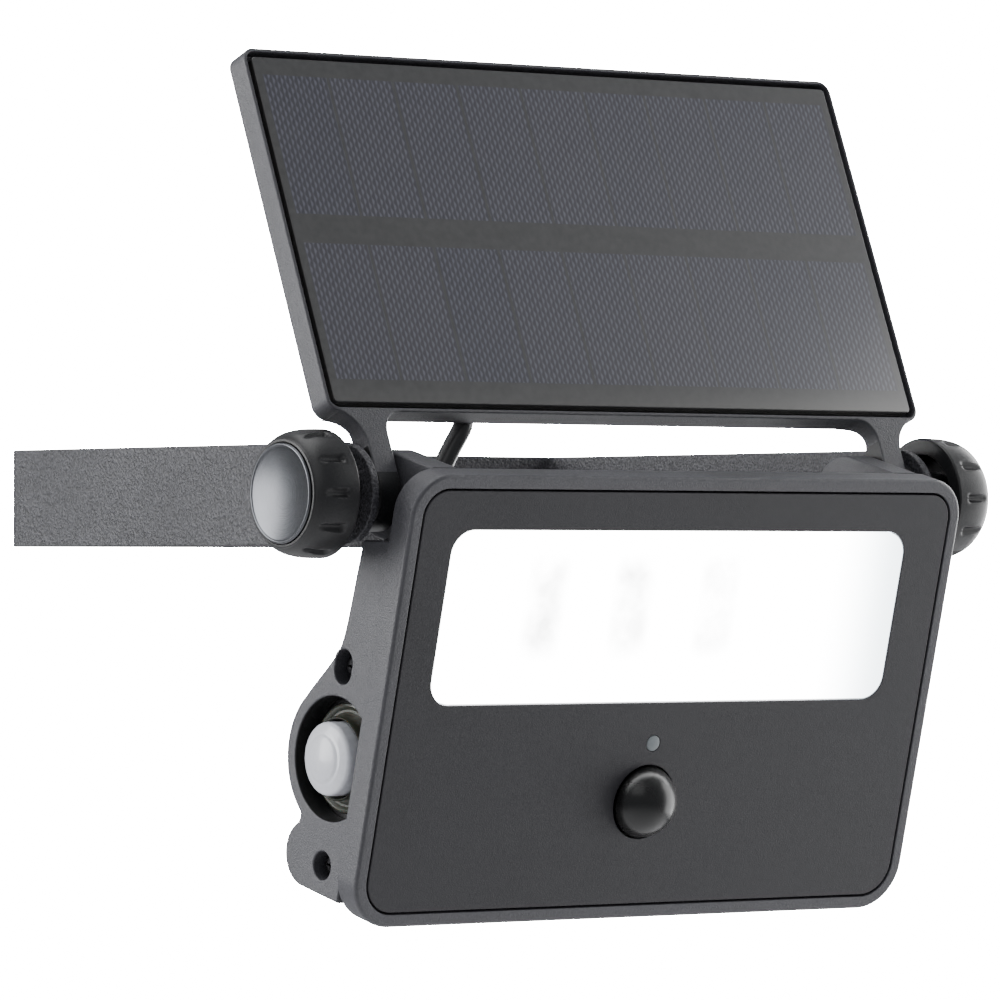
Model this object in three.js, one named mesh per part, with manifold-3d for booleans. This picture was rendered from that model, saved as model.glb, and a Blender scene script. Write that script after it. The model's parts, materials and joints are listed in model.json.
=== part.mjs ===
// Solar flood light on a U-shaped wall bracket.
// Millimetres. +X is to the viewer's right, -Y is the front, +Z is up.
// The origin is the centre of the wall plate's back face.
// The lamp head and the solar panel both turn about one line, the pivot, which runs along X.
import * as THREE from "three";
import { mergeVertices } from "three/addons/utils/BufferGeometryUtils.js";
import Module from "manifold-3d";

const wasm = await Module();
wasm.setup();

// ---------------------------------------------------------------- driving dimensions

const GAP = 0.3;                    // kept between pieces that touch
const FAR = 200;                    // past every piece, for tools that cut right through

const ARM_REACH = 165;              // wall face to pivot
const ARM_INSIDE = 100.5;           // half the space between the arms
const STRIP_THICKNESS = 2.5;
const STRIP_HEIGHT = 28.4;
const BEND_RADIUS = 6;              // outside of the strip's two bends

const HEAD_TILT = 14.25;            // degrees, face down
const HEAD_WIDTH = 200;
const HEAD_TOP = 12.4;              // above the pivot
const HEAD_BOTTOM = -116.5;
const HEAD_FRONT = 28.8;            // pivot to front face
const BEZEL_BACK = 20.1;            // pivot to the bezel's rear edge
const WALL = 2.3;                   // moulded wall thickness
const OPTICS_X = -1.8;              // window, sensor and indicator stand a little left of centre

const PANEL_LEAN = 22;              // degrees, top back
const PANEL_WIDTH = 216.5;
const PANEL_LOW = 20.7;             // from the pivot, along the panel
const PANEL_HIGH = 130.9;
const PANEL_FRONT = 10.1;           // pivot to the panel's front plane
const PANEL_DEPTH = 7.8;

const TUBE = { off: 8.1, z: -73.4, radius: 21.3 };   // battery tube along the rear of the head
const LOBE = { off: 2.3, z: -102.3, radius: 9.3 };   // rounded foot below it
const UPPER_SCREW = { off: 6.6, z: -47.5 };
const LOWER_SCREW = { off: 10.6, z: -103.4 };

const STUD_RADIUS = 3;
const STUD_HOLE = 3.4;
const SCREW = { head: 2.8, shank: 1.5, bore: 1.8 };  // radii of every small screw and its hole
const EAR = { inside: 79.5, outside: 88.6 };
const LEG = { inside: 89.8, outside: 97.6 };
const SIDE_CAP = { outside: 98.5, inside: 91.5, top: -17.5 };
const HEAD_GLAND = { x: -67, z: -9 };
const KNOB = { hub: 104.8, rim: 109.6, end: 123.4, radius: 17.8, endRadius: 14.9 };

// ---------------------------------------------------------------- solids

const AXIS_X = new THREE.Vector3(1, 0, 0);
const AXIS_Y = new THREE.Vector3(0, 1, 0);
const AXIS_Z = new THREE.Vector3(0, 0, 1);
const negated = (axis) => axis.clone().negate();

// How a drawn shape, and the way it is extruded or turned, lies in the model.
const PLAN = new THREE.Matrix4();
const FACING_FRONT = new THREE.Matrix4().makeBasis(AXIS_X, AXIS_Z, negated(AXIS_Y));
const FACING_SIDE = new THREE.Matrix4().makeBasis(AXIS_Y, AXIS_Z, AXIS_X);
const TURNED_ON_X = new THREE.Matrix4().makeBasis(AXIS_Y, AXIS_X, negated(AXIS_Z));
const TURNED_ON_FRONT = new THREE.Matrix4().makeBasis(AXIS_X, negated(AXIS_Y), negated(AXIS_Z));

function enclosedVolume(vertices, triangles) {
  const [a, b, c] = [new THREE.Vector3(), new THREE.Vector3(), new THREE.Vector3()];
  let volume = 0;
  for (let t = 0; t < triangles.length; t += 3) {
    a.fromArray(vertices, 3 * triangles[t]);
    b.fromArray(vertices, 3 * triangles[t + 1]);
    c.fromArray(vertices, 3 * triangles[t + 2]);
    volume += a.dot(b.cross(c)) / 6;
  }
  return volume;
}

// A closed geometry as a solid: shared vertices merged, slivers dropped, faces pointing out.
function solid(geometry) {
  const bare = geometry.clone();
  bare.deleteAttribute("normal");
  bare.deleteAttribute("uv");
  const merged = mergeVertices(bare, 1e-4);
  const vertices = merged.attributes.position.array;
  const index = merged.index.array;
  const triangles = [];
  for (let t = 0; t < index.length; t += 3) {
    const [a, b, c] = [index[t], index[t + 1], index[t + 2]];
    if (a !== b && b !== c && c !== a) triangles.push(a, b, c);
  }
  if (enclosedVolume(vertices, triangles) < 0) triangles.reverse();
  return new wasm.Manifold(new wasm.Mesh({
    numProp: 3,
    vertProperties: Float32Array.from(vertices),
    triVerts: Uint32Array.from(triangles),
  }));
}

const join = (solids) => solids.reduce((whole, piece) => whole.add(piece));
const cut = (body, tools) => tools.reduce((rest, tool) => rest.subtract(tool), body);

function box([x0, x1], [y0, y1], [z0, z1]) {
  const block = new THREE.BoxGeometry(x1 - x0, y1 - y0, z1 - z0);
  return solid(block.translate((x0 + x1) / 2, (y0 + y1) / 2, (z0 + z1) / 2));
}

function extrude(shape, from, to, basis, curveSegments = 3) {
  const body = new THREE.ExtrudeGeometry(shape, { depth: to - from, bevelEnabled: false, curveSegments });
  return solid(body.translate(0, 0, from).applyMatrix4(basis));
}

function turn(profile, basis, segments) {
  const points = profile.map(([radius, along]) => new THREE.Vector2(radius, along));
  return solid(new THREE.LatheGeometry(points, segments).applyMatrix4(basis));
}

function rodX(radius, [x0, x1], y, z, segments = 14) {
  const profile = [[0, x0], [radius, x0], [radius, x1], [0, x1]];
  return turn(profile, TURNED_ON_X, segments).translate([0, y, z]);
}

// Fronts are given by their distance in front of the pivot, which is -Y.
function rodFront(radius, [back, front], x, z, segments = 14) {
  const profile = [[0, back], [radius, back], [radius, front], [0, front]];
  return turn(profile, TURNED_ON_FRONT, segments).translate([x, 0, z]);
}

function ringX(inner, outer, [x0, x1], y, z, segments = 20) {
  const profile = [[inner, x0], [outer, x0], [outer, x1], [inner, x1], [inner, x0]];
  return turn(profile, TURNED_ON_X, segments).translate([0, y, z]);
}

function roundedRectangle(x0, x1, z0, z1, lowRadius, highRadius = lowRadius) {
  const shape = new THREE.Shape();
  const quarter = Math.PI / 2;
  shape.absarc(x1 - lowRadius, z0 + lowRadius, lowRadius, -quarter, 0);
  shape.absarc(x1 - highRadius, z1 - highRadius, highRadius, 0, quarter);
  shape.absarc(x0 + highRadius, z1 - highRadius, highRadius, quarter, 2 * quarter);
  shape.absarc(x0 + lowRadius, z0 + lowRadius, lowRadius, 2 * quarter, 3 * quarter);
  return shape;
}

// The outline moved inward by a distance, edge by edge. Points run anticlockwise.
function inset(points, distance) {
  return points.map((point, i) => {
    const before = points.at(i - 1);
    const after = points[(i + 1) % points.length];
    const a = point.clone().sub(before).normalize();
    const b = after.clone().sub(point).normalize();
    const bisector = new THREE.Vector2(-a.y - b.y, a.x + b.x).normalize();
    const reach = distance / Math.max(0.5, bisector.dot(new THREE.Vector2(-a.y, a.x)));
    return point.clone().addScaledVector(bisector, reach);
  });
}

const mirrored = (body) => body.mirror([1, 0, 0]);
const onSide = (side, body) => (side === "left" ? mirrored(body) : body);

// ---------------------------------------------------------------- materials and meshes

function finish(color, roughness, metalness = 0) {
  return { color, roughness, metalness };
}

const FINISH = {
  powderCoat: finish(0x2f2f33, 0.75, 0.3),
  housing: finish(0x2b2c30, 0.6),
  cover: finish(0x26262a, 0.5),
  knob: finish(0x131316, 0.45),
  satin: finish(0x9a9ca2, 0.35, 0.9),
  glass: finish(0x1b1d2b, 0.1),
  cells: finish(0x1d1f33, 0.4),
  lens: finish(0xf2f8ff, 0.2),
  reflector: finish(0xe8ecef, 0.3),
  board: finish(0x1d5b34, 0.6),
  aluminiumBoard: finish(0xd6d9dc, 0.4, 0.6),
  led: finish(0xfff4b8, 0.3),
  sensorDome: finish(0x08080a, 0.15),
  sensorCan: finish(0x8f9296, 0.3, 0.9),
  indicator: finish(0x9a9ca0, 0.4),
  rubber: finish(0x161618, 0.8),
  button: finish(0xdfe2e6, 0.4),
  boot: finish(0x8d8f86, 0.6),
  steel: finish(0x8c8f94, 0.4, 0.9),
  battery: finish(0x3f6f9c, 0.5),
};

function mesh(name, body, look) {
  const { vertProperties, triVerts, numProp } = body.getMesh();
  if (numProp !== 3) throw new Error(`${name} carries more than positions`);
  const geometry = new THREE.BufferGeometry();
  geometry.setAttribute("position", new THREE.BufferAttribute(vertProperties, 3));
  geometry.setIndex(new THREE.BufferAttribute(triVerts, 1));
  geometry.computeVertexNormals();
  const part = new THREE.Mesh(geometry, new THREE.MeshStandardMaterial(look));
  part.name = name;
  return part;
}

// ---------------------------------------------------------------- wall bracket

function bracketPlan() {
  const outside = ARM_INSIDE + STRIP_THICKNESS;
  const inner = BEND_RADIUS - STRIP_THICKNESS;
  const tip = -ARM_REACH - STRIP_HEIGHT / 2;
  const quarter = Math.PI / 2;
  const shape = new THREE.Shape();
  shape.moveTo(outside, tip);
  shape.absarc(outside - BEND_RADIUS, -BEND_RADIUS, BEND_RADIUS, 0, quarter);
  shape.absarc(-outside + BEND_RADIUS, -BEND_RADIUS, BEND_RADIUS, quarter, 2 * quarter);
  shape.lineTo(-outside, tip);
  shape.lineTo(-ARM_INSIDE, tip);
  shape.absarc(-ARM_INSIDE + inner, -BEND_RADIUS, inner, 2 * quarter, quarter, true);
  shape.absarc(ARM_INSIDE - inner, -BEND_RADIUS, inner, quarter, 0, true);
  shape.lineTo(ARM_INSIDE, tip);
  return shape;
}

const WALL_SLOT = { x: 60, half: 8, radius: 3.2 };

function wallBracket() {
  const half = STRIP_HEIGHT / 2;
  const strip = extrude(bracketPlan(), -half, half, PLAN);
  const sideView = new THREE.Shape();
  sideView.moveTo(GAP, -STRIP_HEIGHT);
  sideView.lineTo(GAP, STRIP_HEIGHT);
  sideView.lineTo(-ARM_REACH, STRIP_HEIGHT);
  sideView.lineTo(-ARM_REACH, half);
  sideView.absarc(-ARM_REACH, 0, half, Math.PI / 2, 1.5 * Math.PI);
  sideView.lineTo(-ARM_REACH, -STRIP_HEIGHT);
  const roundEnds = extrude(sideView, -FAR, FAR, FACING_SIDE, 7);
  const slots = [-WALL_SLOT.x, WALL_SLOT.x].map((x) => {
    const { half: reach, radius } = WALL_SLOT;
    const slot = roundedRectangle(x - reach, x + reach, -radius, radius, radius - 0.01);
    return extrude(slot, -STRIP_THICKNESS, 2 * STRIP_THICKNESS, FACING_FRONT);
  });
  const pivotHole = rodX(STUD_HOLE, [-FAR, FAR], -ARM_REACH, 0);
  return cut(strip.intersect(roundEnds), [...slots, pivotHole]);
}

function clampWashers() {
  const stack = [
    ["spacer_washer", FINISH.rubber, [LEG.outside + GAP, ARM_INSIDE - GAP], 11],
    ["steel_washer", FINISH.steel, [ARM_INSIDE + STRIP_THICKNESS + GAP, KNOB.hub - GAP], 9],
  ];
  return ["left", "right"].flatMap((side) => stack.map(([name, look, span, radius]) => {
    const washer = ringX(STUD_HOLE, radius, span, -ARM_REACH, 0);
    return mesh(`${name}_${side}`, onSide(side, washer), look);
  }));
}

// ---------------------------------------------------------------- clamp knobs

const GRIP_FLUTES = 11;
const CAP = { radius: 13.9, sunk: 1.6, proud: 0.8 };

function knobGrip() {
  const hollow = 13;
  const hubRadius = 8;
  const hollowDepth = 6;
  const capSeat = CAP.radius + GAP;
  const seatDepth = CAP.sunk + GAP;
  const shoulder = new THREE.CubicBezierCurve(
    new THREE.Vector2(KNOB.radius, KNOB.rim + 3.2),
    new THREE.Vector2(KNOB.radius - 0.1, KNOB.rim + 8),
    new THREE.Vector2(KNOB.endRadius + 1.2, KNOB.end - 2.5),
    new THREE.Vector2(KNOB.endRadius, KNOB.end),
  );
  const profile = [
    [STUD_HOLE, KNOB.hub],
    [hubRadius, KNOB.hub],
    [hubRadius, KNOB.rim + hollowDepth],
    [hollow, KNOB.rim + hollowDepth],
    [hollow, KNOB.rim],
    [KNOB.radius - 0.6, KNOB.rim],
    [KNOB.radius, KNOB.rim + 0.6],
    ...shoulder.getPoints(4).map((point) => point.toArray()),
    [capSeat, KNOB.end],
    [capSeat, KNOB.end - seatDepth],
    [STUD_HOLE, KNOB.end - seatDepth],
    [STUD_HOLE, KNOB.hub],
  ];
  const grip = turn(profile, TURNED_ON_X, 3 * GRIP_FLUTES);
  const fluteRadius = 1.3;
  const plainRim = 4;
  const flutes = Array.from({ length: GRIP_FLUTES }, (_, i) => {
    const angle = (2 * Math.PI * (i + 0.5)) / GRIP_FLUTES;
    const span = [KNOB.rim + plainRim, KNOB.end + 2];
    const y = (KNOB.radius + 0.1) * Math.cos(angle);
    const z = (KNOB.radius + 0.1) * Math.sin(angle);
    return rodX(fluteRadius, span, y, z, 5);
  });
  return cut(grip, flutes);
}

// A dished disc with a raised rim, sunk into the end of the grip.
function knobCap() {
  const { radius, sunk, proud } = CAP;
  const back = KNOB.end - sunk;
  const front = KNOB.end + proud;
  const dish = front - 1.5;
  const profile = [
    [0, back],
    [radius, back],
    [radius, front - 0.4],
    [radius - 0.5, front],
    [radius - 1.5, front],
    [radius - 3.5, dish + 0.5],
    [radius / 2, dish],
    [0, dish],
  ];
  return turn(profile, TURNED_ON_X, 28);
}

function knobs() {
  const lift = [0, -ARM_REACH, 0];
  const stud = rodX(STUD_RADIUS, [EAR.inside + GAP, KNOB.end - CAP.sunk - GAP], 0, 0);
  return ["left", "right"].flatMap((side) => [
    mesh(`knob_grip_${side}`, onSide(side, knobGrip()).translate(lift), FINISH.knob),
    mesh(`knob_cap_${side}`, onSide(side, knobCap()).translate(lift), FINISH.satin),
    mesh(`clamp_stud_${side}`, onSide(side, stud).translate(lift), FINISH.steel),
  ]);
}

// ---------------------------------------------------------------- lamp head: housing

// Side view of the head's rear shell as [-off, z] points, anticlockwise: a thin upper part, the
// battery tube and the foot. off is the distance in front of the pivot.
function shellOutline(front) {
  const path = new THREE.Path();
  path.moveTo(-front, HEAD_TOP - 2);
  path.lineTo(-9.5, 6.5);
  path.lineTo(-7.7, 4);
  path.lineTo(-5.6, -30);
  path.bezierCurveTo(-5, -40, -3.6, -44, 0.6, -50);
  path.lineTo(3.7, -54.9);
  const topOfTube = Math.atan2(-54.9 - TUBE.z, 3.7 + TUBE.off);
  path.absarc(-TUBE.off, TUBE.z, TUBE.radius, topOfTube, -1.06, true);
  path.absarc(-LOBE.off, LOBE.z, LOBE.radius, 1.02, -Math.PI / 2, true);
  path.lineTo(-front, LOBE.z - LOBE.radius);
  const points = path.getPoints(5).reverse();
  return points.filter((point, i) => point.distanceTo(points.at(i - 1)) > 0.05);
}

function shellSolid(front, shrink, x0, x1) {
  const points = inset(shellOutline(front), shrink);
  return extrude(new THREE.Shape(points), x0, x1, FACING_SIDE);
}

const SHELL_FRONT = BEZEL_BACK - GAP;

function earSolid() {
  const knuckle = 12.4;
  const span = [EAR.inside, EAR.outside];
  return join([
    box(span, [-SHELL_FRONT, 0], [-knuckle, knuckle]),
    rodX(knuckle, span, 0, 0, 24),
  ]);
}

const NUT = { radius: 5.75, height: 5, pocket: 6 };

function earBore() {
  const radius = NUT.radius + 0.4;
  const pocket = new THREE.CylinderGeometry(radius, radius, 2 * NUT.pocket, 6).rotateZ(Math.PI / 2);
  return join([
    solid(pocket.translate(EAR.inside, 0, 0)),
    rodX(STUD_HOLE, [EAR.inside - WALL, LEG.inside], 0, 0),
  ]);
}

// seat is where the head rests, and boss the length of the post round the screw, from the pivot.
const REAR_SCREWS = [
  { name: "rear_screw_upper_left", x: -60, z: 2.5, seat: 10, boss: [5, 14], radius: 4 },
  { name: "rear_screw_upper_right", x: 60, z: 2.5, seat: 10, boss: [5, 14], radius: 4 },
  { name: "rear_screw_lower_left", x: -60, z: -106.5, seat: 0, boss: [-9, 6], radius: 4.8 },
  { name: "rear_screw_lower_right", x: 60, z: -106.5, seat: 0, boss: [-9, 6], radius: 4.8 },
];

function rearHousing() {
  const left = -SIDE_CAP.inside + GAP;
  const right = SIDE_CAP.outside;
  const outer = shellSolid(SHELL_FRONT, 0, left, right);
  const cavityFront = SHELL_FRONT + 2 * WALL;
  const notchLow = SIDE_CAP.top + GAP;
  const notches = [1, -1].map((side) => {
    const span = side > 0 ? [EAR.outside, FAR] : [-FAR, -EAR.outside];
    return box(span, [-FAR, FAR], [notchLow, FAR]);
  });
  const lowCavity = shellSolid(cavityFront, WALL, left - 1, right - WALL)
    .intersect(box([-FAR, FAR], [-FAR, FAR], [-FAR, notchLow - WALL]));
  const inEar = EAR.inside - WALL;
  const highCavity = shellSolid(cavityFront, WALL, -inEar, inEar);
  const body = cut(outer, [...notches, lowCavity, highCavity]);
  const ears = join([mirrored(earSolid()), earSolid()]);
  const bossDepth = 12;
  const bossRadius = 6.5;
  const sideBosses = [UPPER_SCREW, LOWER_SCREW].map(({ off, z }) => (
    rodX(bossRadius, [left, left + bossDepth], -off, z)
  ));
  const rearBosses = REAR_SCREWS.map(({ x, z, boss, radius }) => rodFront(radius, boss, x, z));
  const bosses = join([...sideBosses, ...rearBosses]).intersect(outer);
  const sideBore = [left - 1, left + bossDepth - 1];
  const behind = 2 * LOBE.radius;
  const leadHole = 2.9;
  const bores = [
    ...[UPPER_SCREW, LOWER_SCREW].map(({ off, z }) => rodX(SCREW.bore, sideBore, -off, z, 8)),
    ...REAR_SCREWS.map(({ x, z, seat }) => rodFront(SCREW.head + GAP, [-behind, seat], x, z, 12)),
    ...REAR_SCREWS.map(({ x, z, boss }) => rodFront(SCREW.bore, [-behind, boss[1] + 1], x, z, 8)),
    earBore(),
    mirrored(earBore()),
    rodFront(leadHole, [0, TRAY.back], HEAD_GLAND.x, HEAD_GLAND.z, 12),
  ];
  return cut(join([body, ears, bosses]), bores);
}

const WELL_RADIUS = 17.2;
const SCREW_SEAT = 2;               // thickness left under each side screw's head

function sideCap() {
  const span = [-SIDE_CAP.outside, -SIDE_CAP.inside];
  const plate = shellSolid(SHELL_FRONT, 0, ...span)
    .intersect(box([-FAR, FAR], [-FAR, FAR], [-FAR, SIDE_CAP.top]));
  const through = [-FAR, -EAR.inside];
  const screwPocket = 4.2;
  const well = rodX(WELL_RADIUS, through, -TUBE.off, TUBE.z, 32);
  const screwHoles = [UPPER_SCREW, LOWER_SCREW].flatMap(({ off, z }) => [
    rodX(screwPocket, [-FAR, -SIDE_CAP.inside - SCREW_SEAT], -off, z, 16),
    rodX(SCREW.bore, through, -off, z, 8),
  ]);
  return cut(plate, [well, ...screwHoles]);
}

const BEZEL_CORNER = { low: 14, high: 12 };
const bezelShape = (shrink) => roundedRectangle(
  -HEAD_WIDTH / 2 + shrink, HEAD_WIDTH / 2 - shrink,
  HEAD_BOTTOM + shrink, HEAD_TOP - shrink,
  BEZEL_CORNER.low - shrink, BEZEL_CORNER.high - shrink,
);
const COVER = { back: 26.3, front: HEAD_FRONT - 0.1, inset: 4.4, groove: 0.6 };
const LEDGE_FRONT = 24.1;           // front of the ledge that the gasket lies on

function frontBezel() {
  const rim = extrude(bezelShape(0), BEZEL_BACK, HEAD_FRONT, FACING_FRONT);
  const ledgeWidth = 3.6;
  const postRadius = 2.9;
  const past = [BEZEL_BACK - 1, HEAD_FRONT + 1];
  const recess = extrude(bezelShape(COVER.inset - COVER.groove), LEDGE_FRONT, HEAD_FRONT + 1, FACING_FRONT);
  const opening = extrude(bezelShape(COVER.inset + ledgeWidth), ...past, FACING_FRONT);
  const posts = REAR_SCREWS.map(({ x, z }) => rodFront(postRadius, [BEZEL_BACK, LEDGE_FRONT], x, z));
  const boreSpan = [BEZEL_BACK - 1, LEDGE_FRONT - 1];
  const bores = REAR_SCREWS.map(({ x, z }) => rodFront(SCREW.bore, boreSpan, x, z, 8));
  return cut(join([cut(rim, [recess, opening]), ...posts]), bores);
}

const WINDOW = { halfWidth: 82.5, low: -52.9, high: -3.1, radius: 7 };
const windowShape = (shrink) => roundedRectangle(
  OPTICS_X - WINDOW.halfWidth + shrink, OPTICS_X + WINDOW.halfWidth - shrink,
  WINDOW.low + shrink, WINDOW.high - shrink, WINDOW.radius - shrink,
);
const SENSOR = { z: -82.1, hole: 10.8, radius: 10.4, proud: 8.5 };
const INDICATOR = { z: -64.9, hole: 2.6, radius: 2.3 };

function frontCover() {
  const plate = extrude(bezelShape(COVER.inset), COVER.back, COVER.front, FACING_FRONT);
  const through = [COVER.back - 1, COVER.front + 1];
  return cut(plate, [
    extrude(windowShape(0), ...through, FACING_FRONT),
    rodFront(SENSOR.hole, through, OPTICS_X, SENSOR.z, 24),
    rodFront(INDICATOR.hole, through, OPTICS_X, INDICATOR.z, 16),
  ]);
}

function sealingGasket() {
  const width = 2.4;
  const ring = extrude(bezelShape(COVER.inset + 0.2), LEDGE_FRONT + GAP, COVER.back - GAP, FACING_FRONT);
  return cut(ring, [extrude(bezelShape(COVER.inset + 0.2 + width), LEDGE_FRONT, COVER.back, FACING_FRONT)]);
}

// ---------------------------------------------------------------- lamp head: light and sensor

const TRAY = { back: 14.6, front: COVER.back - GAP, top: -1, low: -55 };
const LED_COLUMNS = 4;
const LED_PITCH = 22;
const LED_ROWS = [-20, -36];
const LED_SIZE = 5;
const LED_BOARD = { halfWidth: 60, low: -46, high: -10 };
const BOARD_THICKNESS = 1.6;

function ledPlaces() {
  const first = OPTICS_X - (LED_PITCH * (LED_COLUMNS - 1)) / 2;
  const columns = Array.from({ length: LED_COLUMNS }, (_, i) => first + LED_PITCH * i);
  return LED_ROWS.flatMap((z) => columns.map((x) => ({ x, z })));
}

function ledBlock({ x, z }, size, [back, front]) {
  return box([x - size / 2, x + size / 2], [-front, -back], [z - size / 2, z + size / 2]);
}

// A wide mouth behind the window, stepping down to a narrower well that passes between the ears.
function reflectorTray() {
  const wall = 1.5;
  const mouthBack = BEZEL_BACK + GAP;
  const wellHalf = EAR.inside - WALL - 3;
  const floor = TRAY.back + 1.4;
  const mouthHalf = WINDOW.halfWidth + 2;
  const heights = [TRAY.low, TRAY.top];
  const block = join([
    box([OPTICS_X - mouthHalf, OPTICS_X + mouthHalf], [-TRAY.front, -mouthBack], heights),
    box([-wellHalf, wellHalf], [-mouthBack - 0.1, -TRAY.back], heights),
  ]);
  const wellEdge = wellHalf - wall;
  const well = roundedRectangle(-wellEdge, wellEdge, WINDOW.low + 1, WINDOW.high - 1, WINDOW.radius);
  const ledHoles = ledPlaces().map((place) => ledBlock(place, LED_SIZE + 1, [TRAY.back - 1, floor + 1]));
  return cut(block, [
    extrude(windowShape(0), mouthBack + wall, TRAY.front + 1, FACING_FRONT),
    extrude(well, floor, TRAY.front, FACING_FRONT),
    ...ledHoles,
  ]);
}

function lampPieces() {
  const boardFront = TRAY.back - GAP;
  const boardX = [OPTICS_X - LED_BOARD.halfWidth, OPTICS_X + LED_BOARD.halfWidth];
  const board = box(boardX, [-boardFront, -boardFront + BOARD_THICKNESS], [LED_BOARD.low, LED_BOARD.high]);
  const window = extrude(windowShape(GAP), COVER.back + 0.1, COVER.front, FACING_FRONT);
  const leds = ledPlaces().map((place, i) => {
    const chip = ledBlock(place, LED_SIZE, [TRAY.back, TRAY.back + 2]);
    return mesh(`led_${i + 1}`, chip, FINISH.led);
  });
  return [
    mesh("light_window", window, FINISH.lens),
    mesh("reflector_tray", reflectorTray(), FINISH.reflector),
    mesh("led_board", board, FINISH.aluminiumBoard),
    ...leds,
  ];
}

// A quarter of an ellipse as [radius, along] points, from the rim's shoulder to the crown.
function crownPoints(radius, shoulder, height, steps) {
  return Array.from({ length: steps }, (_, i) => {
    const angle = ((i + 1) / steps) * (Math.PI / 2);
    const across = i === steps - 1 ? 0 : radius * Math.cos(angle);
    return [across, shoulder + height * Math.sin(angle)];
  });
}

// A thin hollow dome with a flange that the cover holds down.
function sensorDome() {
  const { radius, proud } = SENSOR;
  const flange = { radius: 12.3, back: 24.4, front: 25.9 };
  const inside = radius - 1.4;
  const top = HEAD_FRONT + proud;
  const profile = [
    [inside, flange.back],
    [flange.radius, flange.back],
    [flange.radius, flange.front],
    [radius, flange.front],
    [radius, HEAD_FRONT],
    ...crownPoints(radius, HEAD_FRONT, proud, 6),
    [0, top - 1.4],
    [inside * 0.65, top - 2.8],
    [inside, HEAD_FRONT + 1],
    [inside, flange.back],
  ];
  return turn(profile, TURNED_ON_FRONT, 24).translate([OPTICS_X, 0, SENSOR.z]);
}

function controlPieces() {
  const boardFront = 22.2;
  const board = box([-62, 24], [-boardFront, -boardFront + BOARD_THICKNESS], [-101, -58]);
  const can = rodFront(4.6, [boardFront + GAP, boardFront + 4.5], OPTICS_X, SENSOR.z);
  const lens = rodFront(INDICATOR.radius, [boardFront + 1, HEAD_FRONT + 0.1], OPTICS_X, INDICATOR.z, 16);
  return [
    mesh("control_board", board, FINISH.board),
    mesh("motion_sensor", can, FINISH.sensorCan),
    mesh("sensor_dome", sensorDome(), FINISH.sensorDome),
    mesh("indicator_lens", lens, FINISH.indicator),
  ];
}

// ---------------------------------------------------------------- lamp head: battery and button

const CELL = { radius: 7.2, spacing: 8.7, from: 32, to: 82 };

function batteryPieces() {
  const cells = [0, 1, 2].map((i) => {
    const angle = Math.PI / 2 + (i * 2 * Math.PI) / 3;
    const y = -TUBE.off + CELL.spacing * Math.cos(angle);
    const z = TUBE.z + CELL.spacing * Math.sin(angle);
    return mesh(`battery_cell_${i + 1}`, rodX(CELL.radius, [CELL.from, CELL.to], y, z, 16), FINISH.battery);
  });
  const sleeve = ringX(16.6, 18, [CELL.from - 2, CELL.to + 2], -TUBE.off, TUBE.z, 24);
  return [...cells, mesh("battery_sleeve", sleeve, FINISH.rubber)];
}

const WELL_FLOOR = -SIDE_CAP.inside + GAP;

const BUTTON = { radius: 10.9, proud: 3, crown: 2.4 };
const BOOT = { inner: 11.4, outer: 15.4, height: 2.6 };

function pushButton() {
  const { radius, proud, crown } = BUTTON;
  const back = -WELL_FLOOR - 0.5;
  const shoulder = SIDE_CAP.outside + proud - crown;
  const top = crownPoints(radius, shoulder, crown, 5);
  const profile = [[0, back], [radius, back], [radius, shoulder], ...top];
  return mirrored(turn(profile, TURNED_ON_X, 24)).translate([0, -TUBE.off, TUBE.z]);
}

function switchPieces() {
  const behindBezel = box([-FAR, 0], [-SHELL_FRONT, FAR], [-FAR, 0]);
  const collarDepth = 2;
  const collarSpan = [WELL_FLOOR, WELL_FLOOR + collarDepth];
  const bootSpan = [WELL_FLOOR - GAP - BOOT.height, WELL_FLOOR - GAP];
  const collarOuter = WELL_RADIUS + 1.2;
  const collar = ringX(BOOT.inner, collarOuter, collarSpan, -TUBE.off, TUBE.z, 28).intersect(behindBezel);
  const boot = ringX(BOOT.inner, BOOT.outer, bootSpan, -TUBE.off, TUBE.z, 28).intersect(behindBezel);
  const face = WELL_FLOOR + collarDepth + GAP;
  const half = 6;
  const depth = 8;
  const across = (middle) => [middle - half, middle + half];
  const switchBody = box([face, face + depth], across(-TUBE.off), across(TUBE.z));
  return [
    mesh("switch_collar", collar, FINISH.rubber),
    mesh("button_boot", boot, FINISH.boot),
    mesh("switch_body", switchBody, FINISH.board),
    mesh("push_button", pushButton(), FINISH.button),
  ];
}

// ---------------------------------------------------------------- lamp head: fasteners and gland

function screwAlong(turnRod, headSpan, shankSpan, a, b) {
  const grip = 0.5;
  const head = turnRod(SCREW.head, headSpan, a, b, 10);
  const [from, to] = shankSpan;
  return join([head, turnRod(SCREW.shank, [from - grip, to], a, b, 7)]);
}

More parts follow.
